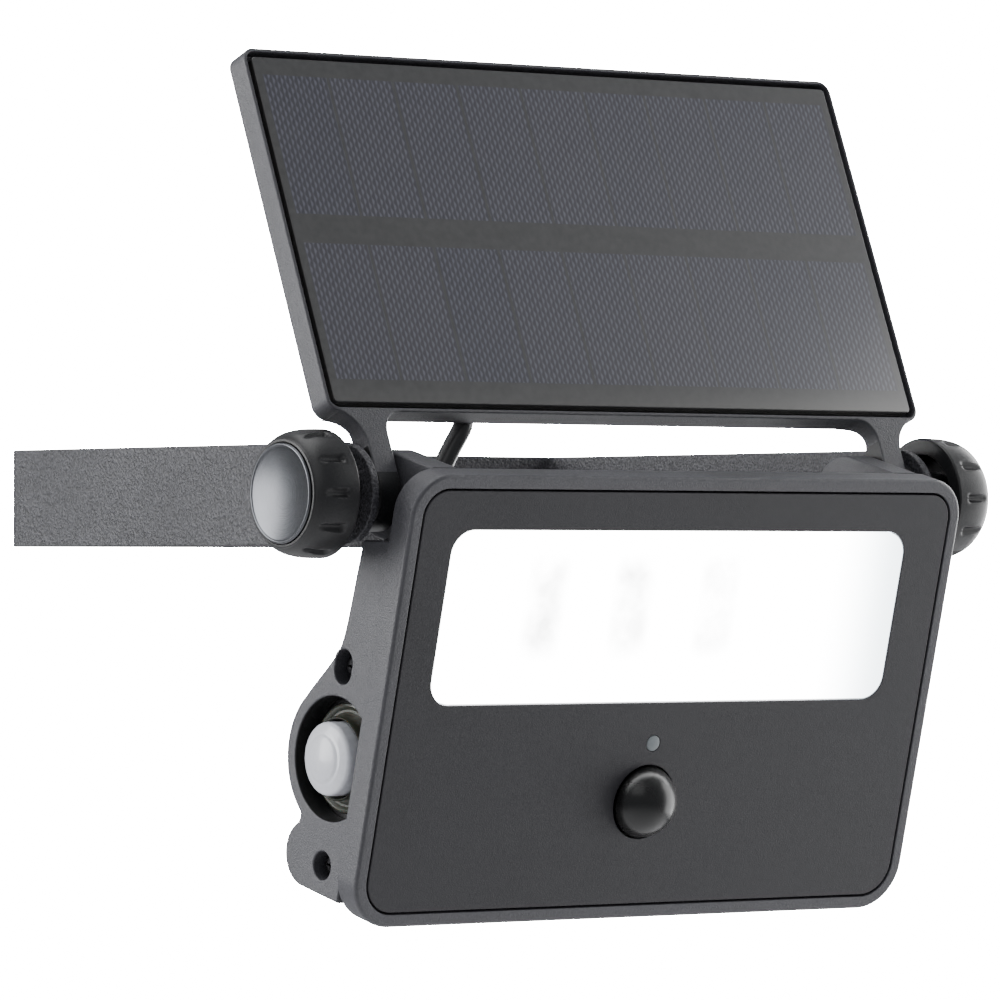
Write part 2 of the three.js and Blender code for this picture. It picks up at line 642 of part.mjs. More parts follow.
function headFasteners() {
  const headLow = -SIDE_CAP.inside - SCREW_SEAT - GAP;
  const headHeight = 1.8;
  const shankLength = 11;
  const sideScrews = [["upper", UPPER_SCREW], ["lower", LOWER_SCREW]].map(([name, { off, z }]) => {
    const shank = [headLow, headLow + shankLength];
    const screw = screwAlong(rodX, [headLow - headHeight, headLow], shank, -off, z);
    return mesh(`side_screw_${name}`, screw, FINISH.steel);
  });
  const rearScrews = REAR_SCREWS.map(({ name, x, z, seat }) => {
    const rest = seat - GAP;
    const screw = screwAlong(rodFront, [rest - headHeight, rest], [rest, LEDGE_FRONT - WALL], x, z);
    return mesh(name, screw, FINISH.steel);
  });
  const nut = new THREE.CylinderGeometry(NUT.radius, NUT.radius, NUT.height, 6).rotateZ(Math.PI / 2);
  const seated = solid(nut.translate(EAR.inside + NUT.pocket - GAP - NUT.height / 2, 0, 0));
  const nutSolid = cut(seated, [rodX(STUD_HOLE, [EAR.inside - 1, EAR.outside], 0, 0)]);
  const nuts = ["left", "right"].map((side) => (
    mesh(`clamp_nut_${side}`, onSide(side, nutSolid), FINISH.steel)
  ));
  return [...sideScrews, ...rearScrews, ...nuts];
}

function headGland() {
  const wallOff = 6.4;
  const profile = [[0, wallOff], [5, wallOff], [4.6, 2.6], [3.6, 1.2], [0, 1.2]];
  const collar = turn(profile, TURNED_ON_FRONT, 20).translate([HEAD_GLAND.x, 0, HEAD_GLAND.z]);
  return mesh("head_cable_gland", collar, FINISH.rubber);
}

function lampHead() {
  const head = new THREE.Group();
  head.position.set(0, -ARM_REACH, 0);
  head.rotation.x = THREE.MathUtils.degToRad(HEAD_TILT);
  head.add(
    mesh("rear_housing", rearHousing(), FINISH.housing),
    mesh("side_cap", sideCap(), FINISH.housing),
    mesh("front_bezel", frontBezel(), FINISH.housing),
    mesh("front_cover", frontCover(), FINISH.cover),
    mesh("sealing_gasket", sealingGasket(), FINISH.rubber),
    ...lampPieces(),
    ...controlPieces(),
    ...batteryPieces(),
    ...switchPieces(),
    ...headFasteners(),
    headGland(),
  );
  return head;
}

// ---------------------------------------------------------------- solar panel

const panelShape = (shrink, radius) => roundedRectangle(
  -PANEL_WIDTH / 2 + shrink, PANEL_WIDTH / 2 - shrink, PANEL_LOW + shrink, PANEL_HIGH - shrink, radius,
);
const PANEL_BACK = PANEL_FRONT - PANEL_DEPTH;
const GLASS = { front: PANEL_FRONT - 0.2, back: PANEL_FRONT - 2.2, inset: 2.1 };

const LEG_ROOT = { flare: 6.5, clear: 86 };   // clear: half the width free of the legs' roots

// Front view of one leg, right-hand side: straight sides, flared into the bottom rail.
function legShape() {
  const rail = PANEL_LOW + 2;
  const shape = new THREE.Shape();
  shape.moveTo(LEG.inside, 0);
  shape.lineTo(LEG.outside, 0);
  shape.lineTo(LEG.outside, 10.5);
  shape.quadraticCurveTo(LEG.outside + 0.6, 18, PANEL_WIDTH / 2 - 3, PANEL_LOW + 0.4);
  shape.lineTo(PANEL_WIDTH / 2 - 4, rail);
  shape.lineTo(LEG.inside - LEG_ROOT.flare, rail);
  shape.lineTo(LEG.inside - LEG_ROOT.flare, PANEL_LOW);
  shape.quadraticCurveTo(LEG.inside - 0.4, PANEL_LOW, LEG.inside, 14);
  return shape;
}

function panelLeg() {
  const knuckle = 10.4;
  const span = [LEG.inside, LEG.outside];
  const shank = extrude(legShape(), 0, PANEL_FRONT, FACING_FRONT, 5);
  const eye = rodX(knuckle, span, 0, 0, 24);
  const overArm = box([LEG.outside + 2, PANEL_WIDTH / 2], [-PANEL_BACK, 5], [5, PANEL_LOW]);
  const hole = rodX(STUD_HOLE, [EAR.outside, ARM_INSIDE], 0, 0);
  return cut(join([shank, eye]), [overArm, hole]);
}

const BACKPLATE = { back: PANEL_BACK + 0.2, front: PANEL_BACK + 1.8, inset: 3 };
const PANEL_SCREWS = [
  { name: "panel_screw_lower_left", x: -98, z: 31 },
  { name: "panel_screw_lower_right", x: 98, z: 31 },
  { name: "panel_screw_upper_left", x: -98, z: 121 },
  { name: "panel_screw_upper_right", x: 98, z: 121 },
];

function panelFrame() {
  const body = extrude(panelShape(0, 4), PANEL_BACK, PANEL_FRONT, FACING_FRONT);
  const frontLip = 1.5;
  const railWidth = 8;
  const glassSeat = extrude(panelShape(frontLip, 2.5), GLASS.back - 1.7, PANEL_FRONT + 1, FACING_FRONT, 2);
  const opening = extrude(panelShape(railWidth, 2), PANEL_BACK - 1, PANEL_FRONT + 1, FACING_FRONT, 2);
  const backSeat = extrude(panelShape(2.6, 2), PANEL_BACK - 1, BACKPLATE.front + GAP, FACING_FRONT, 2);
  const rail = cut(body, [glassSeat, opening, backSeat]);
  const bossTop = GLASS.back - 1.7;
  const bosses = PANEL_SCREWS.map(({ x, z }) => rodFront(3.6, [BACKPLATE.front + GAP, bossTop], x, z, 10));
  const withinRail = extrude(panelShape(3, 2), PANEL_BACK, PANEL_FRONT, FACING_FRONT, 2);
  const corners = join(bosses).intersect(withinRail);
  const bores = PANEL_SCREWS.map(({ x, z }) => rodFront(SCREW.bore, [PANEL_BACK, bossTop - 0.6], x, z, 8));
  const whole = join([rail, corners, mirrored(panelLeg()), panelLeg()]);
  const betweenLegs = box([-LEG_ROOT.clear, LEG_ROOT.clear], [-FAR, FAR], [0, FAR]);
  return cut(whole, [...bores, backSeat.intersect(betweenLegs)]);
}

function panelPieces() {
  const glass = extrude(panelShape(GLASS.inset, 2), GLASS.back, GLASS.front, FACING_FRONT, 2);
  const laminate = extrude(panelShape(2.6, 2), GLASS.back - 1.4, GLASS.back - GAP, FACING_FRONT, 2);
  const plate = extrude(panelShape(BACKPLATE.inset, 2), BACKPLATE.back, BACKPLATE.front, FACING_FRONT, 2);
  const plateHoles = PANEL_SCREWS.map(({ x, z }) => rodFront(SCREW.bore, [0, PANEL_FRONT], x, z, 8));
  const legClearance = [1, -1].map((side) => {
    const span = side > 0 ? [LEG_ROOT.clear - 4, FAR] : [-FAR, 4 - LEG_ROOT.clear];
    return box(span, [-FAR, FAR], [0, PANEL_LOW + 2.6]);
  });
  const screws = PANEL_SCREWS.map(({ name, x, z }) => {
    const under = BACKPLATE.back - GAP;
    const shankEnd = GLASS.back - 2.6;
    return mesh(name, screwAlong(rodFront, [under - 1.6, under], [under, shankEnd], x, z), FINISH.steel);
  });
  return [
    mesh("panel_glass", glass, FINISH.glass),
    mesh("solar_cells", laminate, FINISH.cells),
    mesh("panel_backplate", cut(plate, [...plateHoles, ...legClearance]), FINISH.housing),
    ...screws,
  ];
}

// The junction cover on the panel's back, which the lead enters from below.
const JUNCTION = { x: -53, halfWidth: 13, low: 25, high: 45, depth: 5.5, corner: 3 };

function junctionPieces() {
  const front = BACKPLATE.back - GAP;
  const outline = roundedRectangle(JUNCTION.x - JUNCTION.halfWidth, JUNCTION.x + JUNCTION.halfWidth,
    JUNCTION.low, JUNCTION.high, JUNCTION.corner);
  const cover = extrude(outline, front - JUNCTION.depth, front, FACING_FRONT, 2);
  return [mesh("junction_cover", cover, FINISH.housing)];
}

function solarPanel() {
  const panel = new THREE.Group();
  panel.position.set(0, -ARM_REACH, 0);
  panel.rotation.x = THREE.MathUtils.degToRad(-PANEL_LEAN);
  panel.add(mesh("panel_frame", panelFrame(), FINISH.housing), ...panelPieces(), ...junctionPieces());
  return panel;
}

// ---------------------------------------------------------------- lead from panel to head

const LEAD_RADIUS = 2.4;
// Route by hand, relative to the pivot: out of the junction cover, down, and forward into the head.
const LEAD_ROUTE = [
  [-53, 9.6, 22.2],
  [-54.2, 8.9, 18.8],
  [-57.8, 9.6, 12.5],
  [-61.2, 9.9, 6],
  [-64.2, 9.2, -0.5],
  [-66.3, 7.2, -5.6],
  [-67, 4.3, -8.1],
  [-67, 1.4, -8.93],
];

function panelLead() {
  const points = LEAD_ROUTE.map(([x, y, z]) => new THREE.Vector3(x, y - ARM_REACH, z));
  const section = new THREE.Shape();
  section.absarc(0, 0, LEAD_RADIUS, 0, 2 * Math.PI);
  const tube = new THREE.ExtrudeGeometry(section, {
    steps: 12, curveSegments: 4, bevelEnabled: false, extrudePath: new THREE.CatmullRomCurve3(points),
  });
  return mesh("panel_lead", solid(tube), FINISH.rubber);
}

// ---------------------------------------------------------------- the whole light

const group = new THREE.Group();
group.add(
  mesh("wall_bracket", wallBracket(), FINISH.powderCoat),
  ...clampWashers(),
  ...knobs(),
  lampHead(),
  solarPanel(),
  panelLead(),
);

export default group;
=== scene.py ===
"""Solar flood light: the visual model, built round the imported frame.

Pieces are drawn in millimetres and scaled to metres when they are dressed. Each is drawn in one of
three local frames that start at the pivot line: HEAD, PANEL, and BRACKET, which is level.
In each of them x is to the viewer's right, y is towards the wall and z is up, and a part's
distance in front of the pivot, called off, is -y.
"""

import json
import math

import bmesh
import bpy
from mathutils import Matrix, Vector
from mathutils.geometry import tessellate_polygon


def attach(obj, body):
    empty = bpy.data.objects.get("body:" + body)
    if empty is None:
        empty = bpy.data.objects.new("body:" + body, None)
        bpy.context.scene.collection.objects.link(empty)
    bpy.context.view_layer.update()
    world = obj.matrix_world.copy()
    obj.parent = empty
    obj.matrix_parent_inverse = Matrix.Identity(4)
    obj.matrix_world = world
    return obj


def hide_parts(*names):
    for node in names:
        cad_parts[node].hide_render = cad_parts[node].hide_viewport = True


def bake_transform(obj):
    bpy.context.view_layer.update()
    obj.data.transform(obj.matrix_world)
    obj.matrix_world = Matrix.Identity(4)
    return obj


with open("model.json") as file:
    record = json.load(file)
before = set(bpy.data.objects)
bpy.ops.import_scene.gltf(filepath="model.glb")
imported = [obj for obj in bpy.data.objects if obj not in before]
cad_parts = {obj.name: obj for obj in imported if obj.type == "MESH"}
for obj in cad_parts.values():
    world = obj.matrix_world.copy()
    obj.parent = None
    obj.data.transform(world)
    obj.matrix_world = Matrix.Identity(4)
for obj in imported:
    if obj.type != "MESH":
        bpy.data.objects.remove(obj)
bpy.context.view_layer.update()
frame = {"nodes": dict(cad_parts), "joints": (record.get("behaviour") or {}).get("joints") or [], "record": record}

# ---- local frames

MM = 0.001
JOINTS = {joint["name"]: joint for joint in frame["joints"]}
PIVOT = Vector(JOINTS["panel_tilt"]["pos_m"])
HEAD_TILT = math.radians(14.25)
PANEL_LEAN = math.radians(22)


def local_frame(angle):
    return Matrix.Translation(PIVOT / MM) @ Matrix.Rotation(angle, 4, "X")


HEAD = local_frame(HEAD_TILT)
PANEL = local_frame(-PANEL_LEAN)
BRACKET = local_frame(0)

# How a drawn shape (u, v) and its depth w lie in a local frame.
FRONT = Matrix(((1, 0, 0, 0), (0, 0, -1, 0), (0, 1, 0, 0), (0, 0, 0, 1)))
SIDE = Matrix(((0, 0, 1, 0), (1, 0, 0, 0), (0, 1, 0, 0), (0, 0, 0, 1)))
PLAN = Matrix.Identity(4)


def span(node, place):
    """Lowest and highest corner of a CAD node in a local frame, in millimetres."""
    back = place.inverted()
    points = [back @ (vertex.co / MM) for vertex in frame["nodes"][node].data.vertices]
    low = Vector(min(p[i] for p in points) for i in range(3))
    high = Vector(max(p[i] for p in points) for i in range(3))
    return low, high


# ---- camera, light and stage

CAMERA_PLACE = PIVOT + Vector((-1.21408, -1.48626, -0.02044))
CAMERA_PITCH = 90.579
CAMERA_TURN = -38.127
FOCAL_LENGTH = 242.9
BACKDROP_STRENGTH = 60
FILL_STRENGTH = 0.42
FLOOR_GLOW = 3.5
FLOOR_DROP = 1.2
FLOOR_RADIUS = 12.0


def make_camera():
    camera = bpy.data.cameras.new("camera")
    camera.lens = FOCAL_LENGTH
    camera.sensor_width = 36
    camera.clip_start = 0.05
    camera.clip_end = 200
    holder = bpy.data.objects.new("camera", camera)
    holder.location = CAMERA_PLACE
    holder.rotation_euler = (math.radians(CAMERA_PITCH), 0, math.radians(CAMERA_TURN))
    bpy.context.scene.collection.objects.link(holder)
    bpy.context.scene.camera = holder


def soft_box(name, place, size, power):
    """A rectangular lamp at a place from the pivot, aimed at the pivot."""
    light = bpy.data.lights.new(name, "AREA")
    light.shape = "RECTANGLE"
    light.size, light.size_y = size
    light.energy = power
    holder = bpy.data.objects.new(name, light)
    holder.location = PIVOT + Vector(place)
    holder.rotation_mode = "QUATERNION"
    holder.rotation_quaternion = (PIVOT - holder.location).to_track_quat("-Z", "Y")
    holder.visible_camera = False
    bpy.context.scene.collection.objects.link(holder)


def make_world():
    """A white surround that the eye sees bright and the object sees dimmer."""
    world = bpy.data.worlds.new("studio")
    bpy.context.scene.world = world
    world.use_nodes = True
    tree = world.node_tree
    tree.nodes.clear()
    seen = tree.nodes.new("ShaderNodeBackground")
    seen.inputs["Strength"].default_value = BACKDROP_STRENGTH
    lit = tree.nodes.new("ShaderNodeBackground")
    lit.inputs["Color"].default_value = (0.93, 0.96, 1, 1)
    lit.inputs["Strength"].default_value = FILL_STRENGTH
    path = tree.nodes.new("ShaderNodeLightPath")
    mix = tree.nodes.new("ShaderNodeMixShader")
    out = tree.nodes.new("ShaderNodeOutputWorld")
    tree.links.new(path.outputs["Is Camera Ray"], mix.inputs[0])
    tree.links.new(lit.outputs[0], mix.inputs[1])
    tree.links.new(seen.outputs[0], mix.inputs[2])
    tree.links.new(mix.outputs[0], out.inputs[0])


make_camera()
make_world()
soft_box("left_rear_box", (-1.75, 1.1, 0.5), (1.2, 1.5), 62)
soft_box("right_box", (1.75, -0.62, 0.1), (1.2, 2.2), 34)
soft_box("right_rear_box", (1.65, 0.45, 0.15), (1.0, 1.8), 46)
soft_box("top_box", (-0.2, 0.3, 1.7), (1.8, 1.2), 22)
soft_box("front_box", (-1.6, -1.6, 1.6), (1.8, 1.8), 8)

# ---- outlines

QUARTER = math.pi / 2
SHARPEST_MITRE = 0.35


def arc(centre, radius, start, end, steps=16):
    u, v = centre
    turns = [start + (end - start) * i / steps for i in range(steps + 1)]
    return [(u + radius * math.cos(a), v + radius * math.sin(a)) for a in turns]


def circle(centre, radius, steps):
    return arc(centre, radius, 0, 2 * math.pi, steps)[:-1]


def curve(p0, p1, p2, p3, steps):
    """A cubic Bezier curve without its first point."""
    points = []
    for i in range(1, steps + 1):
        t = i / steps
        s = 1 - t
        weights = (s**3, 3 * s * s * t, 3 * s * t * t, t**3)
        points.append(tuple(sum(w * p[k] for w, p in zip(weights, (p0, p1, p2, p3))) for k in (0, 1)))
    return points


def bow(p0, p1, p2, steps=16):
    """A quadratic Bezier curve without its first point."""
    first = tuple((a + 2 * b) / 3 for a, b in zip(p0, p1))
    second = tuple((c + 2 * b) / 3 for c, b in zip(p2, p1))
    return curve(p0, first, second, p2, steps)


def rounded(x0, x1, z0, z1, low, high=None, steps=16):
    """A rectangle with rounded corners: radius low at the bottom ones and high at the top ones."""
    high = low if high is None else high
    return (
        arc((x1 - low, z0 + low), low, -QUARTER, 0, steps)
        + arc((x1 - high, z1 - high), high, 0, QUARTER, steps)
        + arc((x0 + high, z1 - high), high, QUARTER, 2 * QUARTER, steps)
        + arc((x0 + low, z0 + low), low, 2 * QUARTER, 3 * QUARTER, steps)
    )


def rolled(edge, front, steps):
    """A quarter turn of radius edge, as (inset, depth) points that rise from the side to the front."""
    turns = [QUARTER * i / steps for i in range(steps + 1)]
    return [(edge * (1 - math.cos(a)), front - edge * (1 - math.sin(a))) for a in turns]


def tidy(points, least=0.02):
    """The outline without points that lie on the one before."""
    return [p for i, p in enumerate(points) if math.dist(p, points[i - 1]) > least]


def shifted(points, distance):
    """The outline moved to its left by a distance, which is inward when it runs anticlockwise."""
    moved = []
    for i, point in enumerate(points):
        before, after = Vector(points[i - 1]), Vector(points[(i + 1) % len(points)])
        here = Vector(point)
        a, b = (here - before).normalized(), (after - here).normalized()
        left = Vector((-a.y - b.y, a.x + b.x)).normalized()
        reach = distance / max(SHARPEST_MITRE, left.dot(Vector((-a.y, a.x))))
        moved.append(tuple(here + left * reach))
    return moved


# ---- meshes

CREASE = 34
EDGE_STEPS = 4


def finished(mesh, angle):
    """Smooth shading with crisp corners."""
    mesh.shade_smooth()
    mesh.set_sharp_from_angle(angle=math.radians(angle))


def piece_from(name, bm, place):
    bm.transform(place)
    bmesh.ops.recalc_face_normals(bm, faces=bm.faces)
    mesh = bpy.data.meshes.new(name)
    bm.to_mesh(mesh)
    bm.free()
    holder = bpy.data.objects.new(name, mesh)
    bpy.context.scene.collection.objects.link(holder)
    return holder


def applied(holder):
    """The object with its modifiers made real."""
    graph = bpy.context.evaluated_depsgraph_get()
    mesh = bpy.data.meshes.new_from_object(holder.evaluated_get(graph))
    old = holder.data
    holder.modifiers.clear()
    holder.data = mesh
    bpy.data.meshes.remove(old)
    mesh.name = holder.name


def combine(holder, tool, how):
    step = holder.modifiers.new(how, "BOOLEAN")
    step.operation = how
    step.solver = "MANIFOLD"
    step.object = tool
    applied(holder)
    bpy.data.objects.remove(tool)
    return holder


def cut(holder, tool):
    combine(holder, tool, "DIFFERENCE")


def join(holder, other):
    combine(holder, other, "UNION")


def common(holder, other):
    return combine(holder, other, "INTERSECT")


def softened(holder, width):
    step = holder.modifiers.new("edges", "BEVEL")
    step.width = width
    step.segments = 3
    step.use_clamp_overlap = False
    step.limit_method = "ANGLE"
    step.angle_limit = math.radians(35)
    step.miter_outer = "MITER_ARC"
    applied(holder)


def dressed(holder, look, body, *nodes, angle=CREASE, finish=None):
    """Last step for a piece: size, shading, finish, the body it rides on and the nodes it stands for."""
    holder.data.transform(Matrix.Scale(MM, 4))
    finished(holder.data, angle)
    weigh = holder.modifiers.new("normals", "WEIGHTED_NORMAL")
    weigh.keep_sharp = True
    weigh.weight = 100
    applied(holder)
    holder.data.materials.clear()
    holder.data.materials.append(MATERIALS[finish or look])
    if body:
        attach(holder, body)
    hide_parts(*nodes)


def fillet_rows(near, far, near_edge, far_edge):
    """Rows of (inset, depth) from one face of a plate to the other, with rounded edges."""
    if not near_edge and not far_edge:
        return [(0, near), (0, far)]
    below = [(inset, near + far - depth) for inset, depth in reversed(rolled(near_edge, far, EDGE_STEPS))]
    return tidy(below + rolled(far_edge, far, EDGE_STEPS), 1e-4)


def plate(name, loops, near, far, edge, basis, place, near_edge=None):
    """A flat part with rounded edges: one anticlockwise outline and any clockwise holes in it."""
    rows = fillet_rows(near, far, edge if near_edge is None else near_edge, edge)
    bm = bmesh.new()
    ends = ([], [])
    for loop in loops:
        rings = []
        for inset, depth in rows:
            ring = shifted(loop, inset) if inset else loop
            rings.append([bm.verts.new((u, v, depth)) for u, v in ring])
        count = len(loop)
        for lower, upper in zip(rings, rings[1:]):
            for i in range(count):
                j = (i + 1) % count
                bm.faces.new((lower[i], lower[j], upper[j], upper[i]))
        ends[0].append(rings[0])
        ends[1].append(rings[-1])
    for end in ends:
        flat = [vertex for ring in end for vertex in ring]
        rims = [[Vector((vertex.co.x, vertex.co.y, 0)) for vertex in ring] for ring in end]
        for triangle in tessellate_polygon(rims):
            bm.faces.new([flat[i] for i in triangle])
    return piece_from(name, bm, place @ basis)


def hoop(name, shape, section, basis, place):
    """A frame: the closed section of (inset, depth) points carried round an outline, shape(inset)."""
    bm = bmesh.new()
    rings = [[bm.verts.new((u, v, depth)) for u, v in shape(inset)] for inset, depth in section]
    count = len(rings[0])
    for k, lower in enumerate(rings):
        upper = rings[(k + 1) % len(rings)]
        for i in range(count):
            j = (i + 1) % count
            bm.faces.new((lower[i], lower[j], upper[j], upper[i]))
    return piece_from(name, bm, place @ basis)


def lathed(name, profile, place, segments=96, radius_at=None, mirrored=False):
    """A profile of (radius, along) turned about the local X axis. radius_at changes the radius with the
    angle, and mirrored turns along into distance towards -X."""
    bm = bmesh.new()
    closed = profile[0] == profile[-1]
    points = profile[:-1] if closed else profile
    rings = []
    for radius, along in points:
        if radius < 1e-6:
            rings.append([bm.verts.new((along, 0, 0))])
            continue
        ring = []
        for k in range(segments):
            a = 2 * math.pi * k / segments
            r = radius_at(radius, along, a) if radius_at else radius
            ring.append(bm.verts.new((along, r * math.cos(a), r * math.sin(a))))
        rings.append(ring)
    pairs = list(zip(rings, rings[1:]))
    if closed:
        pairs.append((rings[-1], rings[0]))
    for one, two in pairs:
        for k in range(segments):
            m = (k + 1) % segments
            corners = [one[k % len(one)], one[m % len(one)], two[m % len(two)], two[k % len(two)]]
            corners = list(dict.fromkeys(corners))
            if len(corners) > 2:
                bm.faces.new(corners)
    return piece_from(name, bm, place @ Matrix.Scale(-1, 4, (1, 0, 0)) if mirrored else place)


def at(place, x, off, z):
    return place @ Matrix.Translation((x, -off, z))


def facing_front(place, x, z):
    """A frame whose X axis points out of the front, for lathed parts on the front or back."""
    return place @ Matrix.Translation((x, 0, z)) @ Matrix.Rotation(-QUARTER, 4, "Z")


def block(name, x, off, z, place):
    """A plain box, for cutting."""
    bm = bmesh.new()
    bmesh.ops.create_cube(bm, size=1)
    size = Matrix.Diagonal((x[1] - x[0], off[1] - off[0], z[1] - z[0], 1))
    middle = Matrix.Translation(((x[0] + x[1]) / 2, -(off[0] + off[1]) / 2, (z[0] + z[1]) / 2))
    return piece_from(name, bm, place @ middle @ size)


def drum(name, radius, x0, x1, place, segments=64):
    """A plain cylinder along the local X axis, for cutting."""
    return lathed(name, [(0, x0), (radius, x0), (radius, x1), (0, x1)], place, segments)


# ---- materials

class Nodes:
    """A material's node tree, with short ways to add what the finishes below are made of."""

    def __init__(self, name):
        self.material = bpy.data.materials.new(name)
        self.material.use_nodes = True
        self.tree = self.material.node_tree
        self.tree.nodes.clear()
        self.shader = self.add("ShaderNodeBsdfPrincipled")
        self.out = self.add("ShaderNodeOutputMaterial")
        self.link(self.shader.outputs[0], self.out.inputs["Surface"])
        self.place = self.add("ShaderNodeTexCoord").outputs["Object"]

    def add(self, kind, **settings):
        node = self.tree.nodes.new(kind)
        for key, value in settings.items():
            setattr(node, key, value)
        return node

    def link(self, a, b):
        self.tree.links.new(a, b)

    def set(self, **values):
        for key, value in values.items():
            self.shader.inputs[key.replace("_", " ")].default_value = value

    def feed(self, value, socket):
        if isinstance(value, (int, float)):
            socket.default_value = value
        else:
            self.link(value, socket)

    def paint(self, colour, roughness):
        self.link(colour, self.shader.inputs["Base Color"])
        self.link(roughness, self.shader.inputs["Roughness"])

    def math(self, operation, a, b=0.0):
        node = self.add("ShaderNodeMath", operation=operation)
        for value, socket in zip((a, b), node.inputs):
            self.feed(value, socket)
        return node.outputs[0]

    def noise(self, scale, detail=2.0, roughness=0.5, place=None):
        node = self.add("ShaderNodeTexNoise")
        node.inputs["Scale"].default_value = scale
        node.inputs["Detail"].default_value = detail
        node.inputs["Roughness"].default_value = roughness
        self.link(place or self.place, node.inputs["Vector"])
        return node.outputs["Fac"]

    def ranged(self, value, low, high, from_low=0.3, from_high=0.7):
        node = self.add("ShaderNodeMapRange")
        self.feed(value, node.inputs["Value"])
        node.inputs["From Min"].default_value = from_low
        node.inputs["From Max"].default_value = from_high
        node.inputs["To Min"].default_value = low
        node.inputs["To Max"].default_value = high
        return node.outputs["Result"]

    def blend(self, share, a, b):
        node = self.add("ShaderNodeMix", data_type="RGBA")
        self.feed(share, node.inputs["Factor"])
        for value, name in ((a, "A"), (b, "B")):
            socket = next(s for s in node.inputs if s.name == name and s.type == "RGBA")
            if isinstance(value, tuple):
                socket.default_value = (*value, 1)
            else:
                self.link(value, socket)
        return next(s for s in node.outputs if s.type == "RGBA")

    def bump(self, height, depth):
        node = self.add("ShaderNodeBump")
        node.inputs["Distance"].default_value = depth
        self.link(height, node.inputs["Height"])
        self.link(node.outputs[0], self.shader.inputs["Normal"])

    def local(self, place):
        """Position in a local frame, in millimetres, as its x, y and z."""
        back = place.inverted()
        mapping = self.add("ShaderNodeMapping")
        mapping.inputs["Location"].default_value = back.translation
        mapping.inputs["Rotation"].default_value = back.to_euler()
        mapping.inputs["Scale"].default_value = (1 / MM,) * 3
        self.link(self.place, mapping.inputs["Vector"])
        split = self.add("ShaderNodeSeparateXYZ")
        self.link(mapping.outputs[0], split.inputs[0])
        return split.outputs


def shade(colour, factor):
    return tuple(c * factor for c in colour)


def moulded(name, colour, roughness, grain, depth, spread, **extra):
    """Moulded plastic or rubber: fine grain in the surface, faint blotches and rubbed places.

    grain is how many specks fit in a metre, depth how deep they are and spread how far the colour varies.
    """
    nodes = Nodes(name)
    fine = nodes.noise(grain, 3)
    broad = nodes.noise(28, 3)
    tone = nodes.math("ADD", nodes.ranged(broad, -0.5, 0.5), nodes.ranged(fine, -0.5, 0.5))
    share = nodes.ranged(tone, 0, 1, -1, 1)
    colours = nodes.blend(share, shade(colour, 1 - spread), shade(colour, 1 + spread))
    nodes.paint(colours, nodes.ranged(broad, roughness - 0.05, roughness + 0.07))
    nodes.bump(fine, depth)
    nodes.set(**extra)
    return nodes.material


def powder_coat():
    """Textured powder coat: packed grains of about half a millimetre, dark between them."""
    nodes = Nodes("powder_coat")
    grains = nodes.noise(1500, 1.5, 0.4)
    lumps = nodes.noise(700, 2)
    broad = nodes.noise(22, 3)
    height = nodes.math("ADD", grains, nodes.math("MULTIPLY", lumps, 0.6))
    colours = nodes.blend(nodes.ranged(grains, 0, 1), (0.010, 0.010, 0.012), (0.052, 0.052, 0.060))
    nodes.paint(colours, nodes.ranged(broad, 0.46, 0.58))
    nodes.bump(height, 0.00036)
    return nodes.material


def satin_metal(name, colour, roughness, axis_frame):
    """Turned metal, with fine rings about the part's own axis and soft handling marks."""
    nodes = Nodes(name)
    _, y, z = nodes.local(axis_frame)
    squares = nodes.math("ADD", nodes.math("MULTIPLY", y, y), nodes.math("MULTIPLY", z, z))
    radius = nodes.math("SQRT", squares)
    line = nodes.add("ShaderNodeCombineXYZ")
    nodes.link(radius, line.inputs[0])
    rings = nodes.noise(9, 4, 0.7, line.outputs[0])
    haze = nodes.noise(90, 3)
    colours = nodes.blend(nodes.ranged(haze, 0, 1), shade(colour, 0.88), colour)
    nodes.paint(colours, nodes.ranged(rings, roughness - 0.06, roughness + 0.06))
    nodes.bump(rings, 0.000015)
    nodes.set(Metallic=1.0)
    return nodes.material


def zinc(name, colour, roughness):
    """Plated metal with a fine spangle and dull clouds."""
    nodes = Nodes(name)
    spangle = nodes.noise(700, 3)
    haze = nodes.noise(160, 2)
    colours = nodes.blend(nodes.ranged(haze, 0, 1), shade(colour, 0.75), colour)
    nodes.paint(colours, nodes.ranged(spangle, roughness - 0.1, roughness + 0.1))
    nodes.bump(spangle, 0.00002)
    nodes.set(Metallic=1.0)
    return nodes.material


CELL_PITCH = 23.0
CELL_COLUMNS = 9
CELL_ROWS = ((30.2, 71.3), (80.2, 122.8))
CELL_EDGE = 0.15
CELL_GAP = 0.45
FINGER_PITCH = 1.45
FINGER_WEAVE = 2.9
# Height below which the backing carries a painted reflection.
PAINTED_REFLECTION_HEIGHT = 27


def step_mask(nodes, value, edge, soft):
    """0 below the edge and 1 above it, blended over soft on each side."""
    node = nodes.add("ShaderNodeMapRange", interpolation_type="SMOOTHSTEP")
    nodes.feed(value, node.inputs["Value"])
    node.inputs["From Min"].default_value = edge - soft
    node.inputs["From Max"].default_value = edge + soft
    return node.outputs["Result"]


def below_mask(nodes, value, edge, soft):
    """1 below the edge and 0 above it."""
    return nodes.math("SUBTRACT", 1.0, step_mask(nodes, value, edge, soft))


